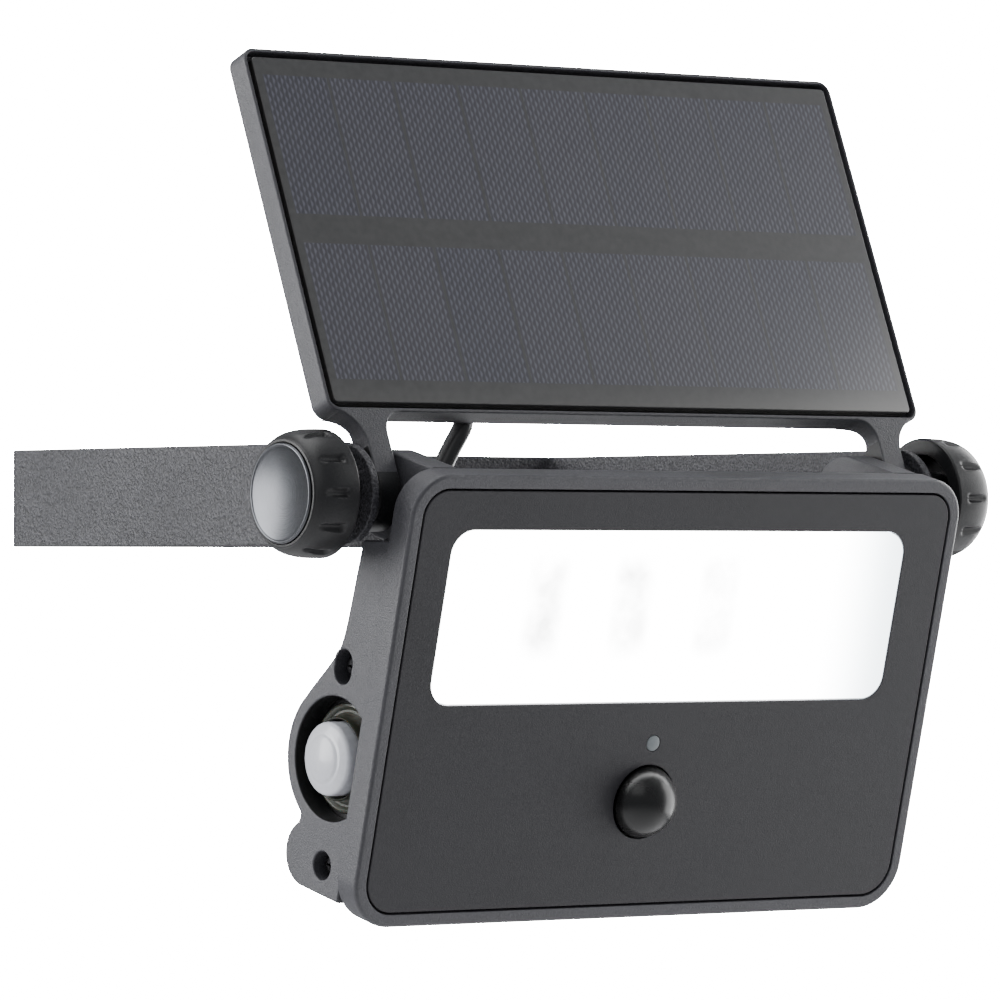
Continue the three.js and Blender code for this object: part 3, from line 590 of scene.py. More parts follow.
def finger_mask(nodes, x, z):
    """Fine upright lines with a weave in them, on a cell's face."""
    turn = 2 * math.pi
    wave = nodes.math("SINE", nodes.math("MULTIPLY", x, turn / FINGER_PITCH))
    slow = nodes.math("SINE", nodes.math("MULTIPLY", x, turn / (2 * FINGER_PITCH)))
    rise = nodes.math("SINE", nodes.math("MULTIPLY", z, turn / FINGER_WEAVE))
    weave = nodes.math("MULTIPLY", slow, rise)
    fingers = nodes.math("ADD", nodes.math("MULTIPLY", wave, 0.55), nodes.math("MULTIPLY", weave, 0.6))
    return step_mask(nodes, fingers, 0.25, 0.55)


def cell_tint(nodes, column, z):
    """A random tone for each cell, with a slow cloud over the whole panel."""
    corner = nodes.add("ShaderNodeCombineXYZ")
    nodes.link(column, corner.inputs[0])
    between_rows = (CELL_ROWS[0][1] + CELL_ROWS[1][0]) / 2
    nodes.link(step_mask(nodes, z, between_rows, 0.1), corner.inputs[1])
    tints = nodes.add("ShaderNodeTexWhiteNoise", noise_dimensions="2D")
    nodes.link(corner.outputs[0], tints.inputs["Vector"])
    return nodes.math("MULTIPLY", nodes.math("ADD", tints.outputs["Value"], nodes.noise(14, 3)), 0.5)


def solar_face(name, coat):
    """Cells in two rows behind the cover: dark blue grey, a fine weave of silver fingers, dark gaps.
    A painted reflection lightens the backing along its lower edge, more so to the right."""
    nodes = Nodes(name)
    x, _, z = nodes.local(PANEL)
    row_masks = []
    for low, high in CELL_ROWS:
        above = step_mask(nodes, z, low, CELL_EDGE)
        row_masks.append(nodes.math("MULTIPLY", above, below_mask(nodes, z, high, CELL_EDGE)))
    rows = nodes.math("ADD", *row_masks)
    half = CELL_PITCH * CELL_COLUMNS / 2
    inside = below_mask(nodes, nodes.math("ABSOLUTE", x), half, CELL_EDGE)
    cell = nodes.math("MULTIPLY", rows, inside)
    across = nodes.math("DIVIDE", nodes.math("ADD", x, half), CELL_PITCH)
    from_gap = nodes.math("MULTIPLY", nodes.math("PINGPONG", across, 0.5), CELL_PITCH)
    body = nodes.math("MULTIPLY", cell, step_mask(nodes, from_gap, CELL_GAP, 2 * CELL_EDGE))
    warm = cell_tint(nodes, nodes.math("FLOOR", across), z)
    silicon = nodes.blend(warm, (0.017, 0.018, 0.028), (0.026, 0.025, 0.034))
    silver = nodes.blend(warm, (0.068, 0.069, 0.098), (0.086, 0.084, 0.108))
    face = nodes.blend(finger_mask(nodes, x, z), silicon, silver)
    grain = nodes.noise(450, 2)
    backing = nodes.blend(nodes.ranged(grain, 0, 1), (0.026, 0.026, 0.026), (0.034, 0.034, 0.034))
    # Painted reflection: the backing below the cells is painted lighter along the lower edge, more so to the
    # right.
    rightward = nodes.math("ADD", nodes.math("MULTIPLY", step_mask(nodes, x, 40, 60), 0.7), 0.3)
    painted_reflection = nodes.math("MULTIPLY", below_mask(nodes, z, PAINTED_REFLECTION_HEIGHT, 5), rightward)
    backing = nodes.blend(painted_reflection, backing, (0.092, 0.091, 0.085))
    nodes.paint(nodes.blend(body, backing, face), nodes.ranged(grain, 0.30, 0.36))
    nodes.bump(nodes.noise(120, 2), 0.00002)
    nodes.set(Coat_Weight=coat, Coat_Roughness=0.12, Coat_IOR=1.5)
    return nodes.material


LAMP_DEPTH_SHIFT = 16.0
LAMP_PITCH = 31
WINDOW_GLOW = 16.0
PATCH_DIMMING = 9.5
RIGHT_END_DIMMING = 11.0


def lit_lens():
    """The window with the lamp on: even white, with three soft patches and a cooler right end."""
    nodes = Nodes("window_lens")
    x, _, z = nodes.local(HEAD)
    low, high = span("led_board", HEAD)
    middle = (low + high) / 2
    seen = nodes.math("ADD", x, LAMP_DEPTH_SHIFT - middle.x)
    wells = nodes.math("COSINE", nodes.math("MULTIPLY", seen, 2 * math.pi / LAMP_PITCH))
    near_row = nodes.math("SUBTRACT", z, middle.z + 3)
    band = below_mask(nodes, nodes.math("ABSOLUTE", near_row), 13, 4)
    ends = below_mask(nodes, nodes.math("ABSOLUTE", seen), 1.5 * LAMP_PITCH - 0.5, 4)
    wells = nodes.math("MULTIPLY", step_mask(nodes, wells, 0.35, 0.6), band)
    facets = nodes.ranged(nodes.noise(110, 2), 0.2, 1.0)
    patch = nodes.math("MULTIPLY", nodes.math("MULTIPLY", wells, ends), facets)
    cool = step_mask(nodes, x, 66, 14)
    glow = nodes.math("SUBTRACT", WINDOW_GLOW, nodes.math("MULTIPLY", patch, PATCH_DIMMING))
    glow = nodes.math("SUBTRACT", glow, nodes.math("MULTIPLY", cool, RIGHT_END_DIMMING))
    light = nodes.blend(cool, (1.0, 1.0, 1.0), (0.86, 0.95, 1.0))
    nodes.link(light, nodes.shader.inputs["Emission Color"])
    nodes.link(glow, nodes.shader.inputs["Emission Strength"])
    ripple = nodes.noise(600, 2)
    colours = nodes.blend(ripple, (0.78, 0.80, 0.82), (0.86, 0.88, 0.9))
    nodes.paint(colours, nodes.ranged(ripple, 0.08, 0.16))
    nodes.bump(ripple, 0.00001)
    nodes.set(IOR=1.49)
    return nodes.material


MATERIALS = {
    "powder_coat": powder_coat(),
    "housing_plastic": moulded("housing_plastic", (0.050, 0.050, 0.057), 0.46, 2200, 0.00014, 0.25),
    "cover_plastic": moulded(
        "cover_plastic", (0.0155, 0.015, 0.0185), 0.44, 2800, 0.00005, 0.15, Specular_IOR_Level=0.42
    ),
    "knob_plastic": moulded(
        "knob_plastic", (0.011, 0.011, 0.012), 0.38, 1900, 0.00004, 0.25, Specular_IOR_Level=0.4
    ),
    "satin_cap": satin_metal("satin_cap", (0.096, 0.099, 0.107), 0.28, BRACKET),
    "rubber": moulded("rubber", (0.012, 0.012, 0.013), 0.30, 1500, 0.00003, 0.3),
    "window_lens": lit_lens(),
    "reflector": moulded("reflector", (0.85, 0.87, 0.9), 0.25, 600, 0.00001, 0.05),
    "metal_board": moulded("metal_board", (0.8, 0.81, 0.82), 0.35, 900, 0.00002, 0.06),
    "circuit_board": moulded("circuit_board", (0.04, 0.22, 0.09), 0.4, 700, 0.00003, 0.3, Coat_Weight=0.4),
    "led": moulded("led", (0.92, 0.82, 0.38), 0.3, 900, 0.00001, 0.1),
    "sensor_can": zinc("sensor_can", (0.55, 0.55, 0.57), 0.3),
    "sensor_dome": moulded(
        "sensor_dome", (0.0015, 0.0015, 0.0015), 0.30, 260, 0.00003, 0.3, Specular_IOR_Level=0.5
    ),
    "indicator": moulded("indicator", (0.17, 0.19, 0.20), 0.35, 900, 0.00001, 0.1),
    "button_boot": moulded(
        "button_boot",
        (0.036, 0.038, 0.029),
        0.24,
        800,
        0.00004,
        0.3,
        Subsurface_Weight=0.2,
        Subsurface_Scale=0.001,
    ),
    "button_cap": moulded("button_cap", (0.55, 0.56, 0.60), 0.30, 700, 0.00002, 0.08, Coat_Weight=0.3),
    "battery_wrap": moulded("battery_wrap", (0.06, 0.18, 0.42), 0.3, 500, 0.00002, 0.15),
    "steel": zinc("steel", (0.40, 0.40, 0.42), 0.36),
    # Painted shade: near-black steel for the side screws, standing in for the shade in their recessed holes.
    "painted_shade_steel": zinc("painted_shade_steel", (0.02, 0.02, 0.022), 0.5),
    "panel_glass": solar_face("panel_glass", 0.8),
    "solar_cells": solar_face("solar_cells", 0.0),
}

SLOT_OF = {part["node"]: part["material_slot"] for part in frame["record"]["subparts"]}
for node, holder in frame["nodes"].items():
    holder.data.materials.clear()
    holder.data.materials.append(MATERIALS[SLOT_OF[node]])

# ---- wall bracket

BRACKET_EDGE = 0.45
PIVOT_BORE = 3.4
WALL_SLOT = {"x": 60, "half_length": 8, "half_height": 3.2}


def make_bracket():
    low, high = span("wall_bracket", BRACKET)
    half = (high.z - low.z) / 2
    outside = high.x
    thick = 2.5
    bend = 6.0
    wall = high.y
    tip = low.y - 1
    inner = bend - thick
    inside = outside - thick
    face = wall - thick
    outline = [(outside, tip)]
    outline += arc((outside - bend, wall - bend), bend, 0, QUARTER)
    outline += arc((-outside + bend, wall - bend), bend, QUARTER, 2 * QUARTER)
    outline += [(-outside, tip), (-inside, tip)]
    outline += reversed(arc((-inside + inner, face - inner), inner, QUARTER, 2 * QUARTER))
    outline += reversed(arc((inside - inner, face - inner), inner, 0, QUARTER))
    outline += [(inside, tip)]
    strap = plate("wall_bracket_visual", [outline], -half, half, 0, PLAN, BRACKET)
    ends = [(wall + 1, -half - 1), (wall + 1, half + 1), (0, half + 1)]
    ends += arc((0, 0), half, QUARTER, 3 * QUARTER, 48)
    ends += [(0, -half - 1)]
    ends.reverse()
    common(strap, plate("ends", [ends], -outside - 1, outside + 1, 0, SIDE, BRACKET))
    for x in (-WALL_SLOT["x"], WALL_SLOT["x"]):
        length, height = WALL_SLOT["half_length"], WALL_SLOT["half_height"]
        slot = rounded(x - length, x + length, -height, height, height - 0.01)
        cut(strap, plate("slot", [slot], -wall - 2, -face + 2, 0, FRONT, BRACKET))
    cut(strap, drum("pivot_hole", PIVOT_BORE, -outside - 1, outside + 1, BRACKET))
    softened(strap, BRACKET_EDGE)
    dressed(strap, "powder_coat", "bracket", "wall_bracket")


def make_washers():
    for side in ("left", "right"):
        for kind, look, edge in (("spacer_washer", "rubber", 0.2), ("steel_washer", "steel", 0.25)):
            node = f"{kind}_{side}"
            low, high = span(node, BRACKET)
            radius = (high.z - low.z) / 2
            profile = [
                (PIVOT_BORE, low.x), (radius - edge, low.x), (radius, low.x + edge),
                (radius, high.x - edge), (radius - edge, high.x), (PIVOT_BORE, high.x),
                (PIVOT_BORE, low.x),
            ]
            washer = lathed(f"{node}_visual", profile, BRACKET)
            dressed(washer, look, "bracket", node)


# ---- clamp knobs

FLUTES = 11
FLUTE_RADIUS = 1.3
FLUTE_START = 3.2
KNOB_RADIUS = 17.8
KNOB_RIM = 109.6
KNOB_END = 123.4
KNOB_HUB = 104.8
KNOB_HOLLOW = 13.0
CAP_RADIUS = 13.9
CAP_SEAT_RADIUS = 14.2
DISH_RADIUS = 12.7
STUD = {"inner": 79.8, "outer": 121.5, "radius": 3.0}


def smooth_step(low, high, value):
    t = min(1.0, max(0.0, (value - low) / (high - low)))
    return t * t * (3 - 2 * t)


def fluted(radius, along, angle):
    """Grooves cut straight along the grip, from just short of the rim until the shoulder falls away."""
    if along < KNOB_RIM + FLUTE_START - 0.7 or along > KNOB_END - 1:
        return radius
    pitch = 2 * math.pi / FLUTES
    distance = abs((angle / pitch) % 1 - 0.5) * pitch * KNOB_RADIUS
    if distance >= FLUTE_RADIUS:
        return radius
    start = KNOB_RIM + FLUTE_START
    depth = math.sqrt(FLUTE_RADIUS**2 - distance**2) * smooth_step(start, start + 1, along)
    return min(radius, KNOB_RADIUS - depth)


def knob_profile():
    """A hub inside a hollow grip, whose outside falls away in one curve towards the cap."""
    shoulder_start = (KNOB_RADIUS, KNOB_RIM + FLUTE_START)
    leaving = (KNOB_RADIUS - 0.05, KNOB_RIM + 8)
    arriving = (KNOB_RADIUS - 0.5, KNOB_END - 2.2)
    shoulder = curve(shoulder_start, leaving, arriving, (15.0, KNOB_END - 0.35), 30)
    edge = arc((14.7, KNOB_END - 0.3), 0.3, 0.1, QUARTER, 4)
    rim = arc((KNOB_RADIUS - 0.6, KNOB_RIM + 0.6), 0.6, -QUARTER, 0, 6)
    return [
        (PIVOT_BORE, KNOB_HUB), (7.6, KNOB_HUB), (8.0, KNOB_HUB + 0.4), (8.0, KNOB_RIM + 6),
        (KNOB_HOLLOW, KNOB_RIM + 6), (KNOB_HOLLOW, KNOB_RIM + 0.3),
        (KNOB_HOLLOW + 0.3, KNOB_RIM), *rim, (KNOB_RADIUS, KNOB_RIM + 1.8),
        (KNOB_RADIUS, KNOB_RIM + FLUTE_START - 0.7), shoulder_start, *shoulder, *edge,
        (CAP_SEAT_RADIUS, KNOB_END), (CAP_SEAT_RADIUS, KNOB_END - 1.9),
        (PIVOT_BORE, KNOB_END - 1.9), (PIVOT_BORE, KNOB_HUB),
    ]


def cap_profile():
    """A shallow dish inside a bright rounded rim."""
    back, top, dish = KNOB_END - 1.6, KNOB_END + 0.8, KNOB_END - 0.85
    rim = arc((CAP_RADIUS - 0.55, top - 0.55), 0.55, 0, QUARTER + 0.9, 10)
    bowl = [(DISH_RADIUS * (1 - i / 16), dish + 1.35 * (1 - i / 16) ** 2) for i in range(17)]
    return [(0, back), (CAP_RADIUS, back), *rim, *bowl]


def stud_profile():
    inner, outer, radius = STUD["inner"], STUD["outer"], STUD["radius"]
    points = [(0, inner), (radius - 0.4, inner), (radius, inner + 0.4)]
    return points + [(radius, outer - 0.3), (radius - 0.3, outer), (0, outer)]


def make_knobs():
    for side in ("left", "right"):
        body = f"knob_{side}"
        mirrored = side == "left"
        grip = lathed(f"knob_grip_{side}_visual", knob_profile(), BRACKET, FLUTES * 24, fluted, mirrored)
        dressed(grip, "knob_plastic", body, f"knob_grip_{side}", angle=50)
        cap = lathed(f"knob_cap_{side}_visual", cap_profile(), BRACKET, 128, None, mirrored)
        dressed(cap, "satin_cap", body, f"knob_cap_{side}")
        stud = lathed(f"clamp_stud_{side}_visual", stud_profile(), BRACKET, 48, None, mirrored)
        dressed(stud, "steel", body, f"clamp_stud_{side}")


# ---- lamp head: housing

SHELL_FRONT = 19.8
TUBE = {"off": 8.1, "z": -73.4, "radius": 21.3}
LOBE = {"off": 2.3, "z": -102.3, "radius": 9.3}
HOUSING_EDGE = 0.7
WALL = 2.3
SIDE_CAP_TOP = -11.4
EAR = (79.5, 88.6)
EAR_RADIUS = 12.4
LEAD_HOLE = {"x": -67, "z": -9, "radius": 2.9}


def shell_outline(front, shrink=0.0):
    """Side view of the rear shell as (y, z), anticlockwise: thin top, battery tube and rounded foot."""
    points = [(-front, 10.4), (-9.5, 6.5), (-7.7, 4), (-5.6, -30)]
    points += curve(points[-1], (-5.2, -37), (-4.6, -41.2), (-3.2, -44), 10)
    tube = arc((-TUBE["off"], TUBE["z"]), TUBE["radius"], 0.7, -1.01, 44)
    points += curve(points[-1], (0.2, -49.6), (4.5, -54.2), tube[0], 16)
    points += tube[1:]
    foot = arc((-LOBE["off"], LOBE["z"]), LOBE["radius"], 0.87, -QUARTER, 28)
    points += curve(points[-1], (2.1, -92.2), (2.7, -94.4), foot[0], 8)
    points += foot[1:]
    points.append((-front, LOBE["z"] - LOBE["radius"]))
    points.reverse()
    return shifted(tidy(points, 0.05), shrink)


# Each screw's x and z, the depth of its seat and the radius of the boss round it.
REAR_SCREWS = {
    "rear_screw_upper_left": (-60, 2.5, 10, 5.0),
    "rear_screw_upper_right": (60, 2.5, 10, 5.0),
    "rear_screw_lower_left": (-60, -106.5, 0, 5.4),
    "rear_screw_lower_right": (60, -106.5, 0, 5.4),
}


def ear_outline():
    round_end = arc((0, 0), EAR_RADIUS, -QUARTER, QUARTER, 40)
    return tidy([(-SHELL_FRONT, -EAR_RADIUS), (0, -EAR_RADIUS), *round_end, (-SHELL_FRONT, EAR_RADIUS)])


def make_rear_housing():
    """A hollow shell with two pivot ears. It stops at the side cap, and above that at the ears."""
    low, high = span("rear_housing", HEAD)
    left, right = low.x, high.x
    name = "rear_housing_visual"
    shell = plate(name, [shell_outline(SHELL_FRONT)], left, right, HOUSING_EDGE, SIDE, HEAD, near_edge=0.25)
    notch_low = SIDE_CAP_TOP + 0.3
    whole_depth = (-40, 60)
    for x in ((left - 5, -EAR[1]), (EAR[1], right + 5)):
        cut(shell, block("notch", x, whole_depth, (notch_low, 40), HEAD))
    for x0, x1 in ((-EAR[1], -EAR[0]), EAR):
        join(shell, plate("ear", [ear_outline()], x0, x1, HOUSING_EDGE, SIDE, HEAD))
    for x, z, seat, boss in REAR_SCREWS.values():
        place = facing_front(HEAD, x, z)
        collar = [(0, seat - 4.6), (boss, seat - 4.6), (boss + 0.5, seat + 5), (0, seat + 5)]
        join(shell, lathed("boss", collar, place, 40))
    inner = shell_outline(SHELL_FRONT + 5, WALL)
    lower = plate("lower", [inner], left - 1, right - WALL, 0, SIDE, HEAD)
    under_notch = block("below", (left - 2, right), whole_depth, (-200, notch_low - WALL), HEAD)
    cut(shell, common(lower, under_notch))
    cut(shell, plate("upper", [inner], WALL - EAR[0], EAR[0] - WALL, 0, SIDE, HEAD))
    for x, z, seat, _ in REAR_SCREWS.values():
        cut(shell, drum("pocket", 3.2, -30, seat, facing_front(HEAD, x, z), 40))
    for middle in (-84, 84):
        cut(shell, drum("pivot_hole", PIVOT_BORE, middle - 8, middle + 8, HEAD))
    lead_place = facing_front(HEAD, LEAD_HOLE["x"], LEAD_HOLE["z"])
    cut(shell, drum("lead_hole", LEAD_HOLE["radius"], 0, 12, lead_place, 48))
    dressed(shell, "housing_plastic", "head", "rear_housing")


WELL_RADIUS = 17.4
UPPER_SCREW = {"off": 6.6, "z": -47.5}
LOWER_SCREW = {"off": 10.6, "z": -103.4}


def slotted(centre, radius, rise, steps=24):
    """Two overlapping circles, one above the other."""
    y, z = centre
    waist = math.asin(rise / radius)
    top = arc((y, z + rise), radius, -waist, math.pi + waist, steps)
    low = arc((y, z - rise), radius, math.pi - waist, 2 * math.pi + waist, steps)
    return tidy(top + low, 0.05)


def blacken(piece, home, centre, radius):
    """Black knob plastic on the faces that lie within a radius of a line across the part: painted shade in the
    button well, and a black pivot eye on the panel.
    """
    piece.data.materials.append(MATERIALS["knob_plastic"])
    back = home.inverted()
    for face in piece.data.polygons:
        spot = back @ (face.center / MM)
        if math.dist((spot.y, spot.z), centre) < radius:
            face.material_index = 1


def make_side_cap():
    """The end cover, with the button well open to the front and two recessed screw holes."""
    low, high = span("side_cap", HEAD)
    centre = (-TUBE["off"], TUBE["z"])
    mouth = math.acos((TUBE["off"] - SHELL_FRONT) / WELL_RADIUS)
    outline = [p for p in shell_outline(SHELL_FRONT) if p[1] < SIDE_CAP_TOP]
    outline += [(-6.8, SIDE_CAP_TOP), (-SHELL_FRONT, SIDE_CAP_TOP + 2.8)]
    outline += arc(centre, WELL_RADIUS, mouth, -mouth, 120)
    upper = slotted((-UPPER_SCREW["off"], UPPER_SCREW["z"]), 3.9, 1.0)
    lower = circle((-LOWER_SCREW["off"], LOWER_SCREW["z"]), 4.0, 48)
    loops = [tidy(outline, 0.05), list(reversed(upper)), list(reversed(lower))]
    cap = plate("side_cap_visual", loops, low.x, high.x, 0, SIDE, HEAD, near_edge=0.5)
    dressed(cap, "housing_plastic", "head", "side_cap")
    # Painted shade: the wall of the button well gets the black knob plastic in place of the shadow inside the
    # well.
    blacken(cap, HEAD, centre, WELL_RADIUS + 0.2)


# ---- lamp head: front

BEZEL_BACK = 20.1
HEAD_FRONT = 28.8
BEZEL_LOW, BEZEL_HIGH = span("front_bezel", HEAD)
BEZEL_WIDTH = 8.0
LOWER_CORNER = 14
UPPER_CORNER = 12
COVER_INSET = 4.4
GROOVE = 0.6
LEDGE = 24.1


def bezel_shape(inset):
    left, right = BEZEL_LOW.x + inset, BEZEL_HIGH.x - inset
    bottom, top = BEZEL_LOW.z + inset, BEZEL_HIGH.z - inset
    return rounded(left, right, bottom, top, LOWER_CORNER - inset, UPPER_CORNER - inset, 20)


def make_bezel():
    inset = COVER_INSET - GROOVE
    section = [
        (BEZEL_WIDTH, BEZEL_BACK), (0.5, BEZEL_BACK), (0.15, BEZEL_BACK + 0.15),
        (0.0, BEZEL_BACK + 0.5), *rolled(1.1, HEAD_FRONT, 6), (inset - 0.3, HEAD_FRONT),
        (inset - 0.08, HEAD_FRONT - 0.08), (inset, HEAD_FRONT - 0.3), (inset, LEDGE),
        (BEZEL_WIDTH, LEDGE),
    ]
    bezel = hoop("front_bezel_visual", bezel_shape, section, FRONT, HEAD)
    dressed(bezel, "housing_plastic", "head", "front_bezel")


WINDOW_CORNER = 6.7
WINDOW_GAP = 0.3
DOME = {"radius": 10.4, "hole": 10.8, "flange": 12.3, "flange_back": 24.4, "flange_front": 25.9, "wall": 1.4}
LENS_RADIUS = 2.3


def window_outline(margin):
    low, high = span("light_window", HEAD)
    corner = WINDOW_CORNER + margin
    return rounded(low.x - margin, high.x + margin, low.z - margin, high.z + margin, corner)


def middle_of(node, place):
    low, high = span(node, place)
    return (low + high) / 2


def make_front_cover():
    low, high = span("front_cover", HEAD)
    dome = middle_of("sensor_dome", HEAD)
    lens = middle_of("indicator_lens", HEAD)
    dome_hole = circle((dome.x, dome.z), DOME["hole"], 96)
    lens_hole = circle((lens.x, lens.z), LENS_RADIUS + 0.06, 48)
    holes = [list(reversed(hole)) for hole in (window_outline(WINDOW_GAP), dome_hole, lens_hole)]
    loops = [bezel_shape(COVER_INSET), *holes]
    cover = plate("front_cover_visual", loops, -high.y, -low.y, 0.3, FRONT, HEAD)
    dressed(cover, "cover_plastic", "head", "front_cover")


def make_window():
    low, high = span("light_window", HEAD)
    pane = plate("light_window_visual", [window_outline(0)], -high.y, -low.y, 0.25, FRONT, HEAD)
    dressed(pane, "window_lens", "head", "light_window")


def make_sensor_dome():
    """A hollow part of a sphere on a flange that sits behind the cover."""
    middle = middle_of("sensor_dome", HEAD)
    top = -span("sensor_dome", HEAD)[0].y
    radius, flange, wall = DOME["radius"], DOME["flange"], DOME["wall"]
    back, front = DOME["flange_back"], DOME["flange_front"]
    rise = top - HEAD_FRONT
    sphere = (radius**2 + rise**2) / (2 * rise)
    edge = math.asin(radius / sphere)
    slopes = [edge * (1 - i / 28) for i in range(28)]
    crown = [(sphere * math.sin(a), top - sphere * (1 - math.cos(a))) for a in slopes]
    hollow = radius - wall
    turns = [QUARTER * i / 12 for i in range(1, 13)]
    inside = [(hollow * math.sin(a), HEAD_FRONT + (rise - wall) * math.cos(a)) for a in turns]
    outside = [(hollow, back), (flange, back), (flange, front), (radius, front), *crown, (0, top)]
    profile = [*outside, (0, top - wall), *inside, (hollow, back)]
    dome = lathed("sensor_dome_visual", profile, facing_front(HEAD, middle.x, middle.z), 96)
    dressed(dome, "sensor_dome", "head", "sensor_dome")


def make_indicator():
    low, high = span("indicator_lens", HEAD)
    middle = middle_of("indicator_lens", HEAD)
    top, back, radius = -low.y, -high.y, LENS_RADIUS
    crown = [(radius, top - 0.25), (radius - 0.15, top - 0.06), (radius - 0.5, top), (0, top + 0.05)]
    profile = [(0, back), (radius, back), *crown]
    guide = lathed("indicator_lens_visual", profile, facing_front(HEAD, middle.x, middle.z), 48)
    dressed(guide, "indicator", "head", "indicator_lens")


# ---- push button

BUTTON = {"radius": 10.3, "edge": 1.6, "crown": 4.0, "reach": 2}
RING = {"radius": 6.9, "depth": 0.22, "width": 0.45}
BOOT_RADIUS = 15.4
BOOT_BORE = 11.0


def button_place():
    return at(HEAD, 0, TUBE["off"], TUBE["z"])


def make_button():
    """A low crown with a fine ring groove, rounded into a straight wall."""
    low, high = span("push_button", HEAD)
    tip, back = BUTTON["reach"] - low.x, -high.x
    radius, edge = BUTTON["radius"], BUTTON["edge"]
    rim = arc((radius - edge, tip - BUTTON["crown"]), edge, 0, QUARTER - 0.45, 10)
    start_radius, start = rim[-1]
    crown = []
    for i in range(1, 33):
        out = 1 - i / 32
        from_ring = (start_radius * out - RING["radius"]) / RING["width"]
        groove = RING["depth"] * math.exp(-(from_ring**2))
        crown.append((start_radius * out, start + (tip - start) * (1 - out * out) - groove))
    crown[-1] = (0, tip)
    profile = [(0, back), (radius, back), *rim, *crown]
    button = lathed("push_button_visual", profile, button_place(), 96, None, True)
    dressed(button, "button_cap", "button", "push_button")


def make_boot():
    """The folded rubber ring round the button, cut flat where the bezel covers it."""
    low, high = span("button_boot", HEAD)
    face, floor = -low.x, -high.x
    lips = [
        (BOOT_RADIUS, floor), (BOOT_RADIUS, face - 0.9), (15.1, face - 0.4),
        (14.6, face - 0.25), (14.0, face - 0.6), (13.5, face - 1.1), (12.9, face - 1.1),
        (12.4, face - 0.4), (12.1, face + 0.6), (11.8, face + 2.6), (11.5, face + 3.1),
        (11.2, face + 2.9), (BOOT_BORE, face + 2.2), (BOOT_BORE, floor), (BOOT_RADIUS, floor),
    ]
    boot = lathed("button_boot_visual", lips, button_place(), 96, None, True)
    cut(boot, block("in_front", (-110, -80), (SHELL_FRONT, 40), (-120, -40), HEAD))
    dressed(boot, "button_boot", "head", "button_boot")


# ---- solar panel

PANEL_TOP = span("panel_frame", PANEL)[1].z
PANEL_FRONT = 10.1
PANEL_BACK = 2.3
PANEL_FOOT = 20.7
PANEL_HALF = 108.25
PANEL_CORNER = 4
GLASS_SEAT = 6.2
BACK_SEAT = 4.4
SEAT_WIDTH = 8.0
LEG = (89.8, 97.6)
LEG_FLARE = 6.5
EYE_RADIUS = 10.4
ARM_CLEARANCE = 99.6
PANEL_SCREWS = [(x, z) for x in (-98, 98) for z in (31, 121)]
SCREW_BORE = 1.8


def panel_shape(inset):
    corner = max(0.4, PANEL_CORNER - inset)
    right = PANEL_HALF - inset
    return rounded(-right, right, PANEL_FOOT + inset, PANEL_TOP - inset, corner, steps=12)


def leg_outline():
    """Front view of the right leg: straight at the eye, flared where it meets the rail."""
    inside, outside = LEG
    foot, top = PANEL_FOOT, PANEL_FOOT + 0.9
    points = [(inside, -1), (outside, -1), (outside, 10.5)]
    points += bow((outside, 10.5), (outside + 0.6, 18), (PANEL_HALF - 3, foot + 0.4))
    points += [(PANEL_HALF - 4, top), (inside - LEG_FLARE, top), (inside - LEG_FLARE, foot)]
    points += bow((inside - LEG_FLARE, foot), (inside - 0.4, foot), (inside, 14))
    return tidy(points, 0.05)


def eye_profile():
    inner, outer = LEG
    rim, face = EYE_RADIUS, EYE_RADIUS - 0.5
    return [(0, inner), (face, inner), (rim, inner + 0.5), (rim, outer - 0.5), (face, outer), (0, outer)]


def both_ways(side, low, high):
    """A stretch of x on one side of the middle, lowest first."""
    return (low, high) if side > 0 else (-high, -low)


def make_leg(side):
    outline = [(side * u, v) for u, v in leg_outline()]
    if side < 0:
        outline.reverse()
    leg = plate("leg", [outline], 0, PANEL_FRONT, 0.5, FRONT, PANEL)
    over_arm = both_ways(side, ARM_CLEARANCE, 120)
    cut(leg, block("over_arm", over_arm, (-5, PANEL_BACK), (4, PANEL_FOOT), PANEL))
    cut(leg, drum("scoop", 5.5, *both_ways(side, 80, 120), at(PANEL, 0, -1, 16.2)))
    join(leg, lathed("eye", eye_profile(), PANEL, 96, None, side < 0))
    cut(leg, drum("pivot_hole", PIVOT_BORE, *both_ways(side, 88, 99), PANEL))
    return leg


def make_panel_frame():
    lip = 1.0
    section = [
        (0.3, PANEL_BACK), (0.0, PANEL_BACK + 0.3), *rolled(0.6, PANEL_FRONT, 4),
        (lip - 0.2, PANEL_FRONT), (lip, PANEL_FRONT - 0.2), (lip, GLASS_SEAT),
        (SEAT_WIDTH, GLASS_SEAT), (SEAT_WIDTH, BACK_SEAT), (2.6, BACK_SEAT), (2.6, PANEL_BACK),
    ]
    rail = hoop("panel_frame_visual", panel_shape, section, FRONT, PANEL)
    for side in (1, -1):
        join(rail, make_leg(side))
    for x, z in PANEL_SCREWS:
        place = facing_front(PANEL, x, z)
        boss = [(0, BACK_SEAT), (3.6, BACK_SEAT), (3.6, GLASS_SEAT + 0.05), (0, GLASS_SEAT + 0.05)]
        join(rail, lathed("boss", boss, place, 40))
        cut(rail, drum("bore", SCREW_BORE, 0, 5.6, place, 32))
    dressed(rail, "housing_plastic", "panel", "panel_frame")
    # The faces round the pivot eye get the black knob plastic.
    blacken(rail, PANEL, (0, 0), EYE_RADIUS + 0.2)


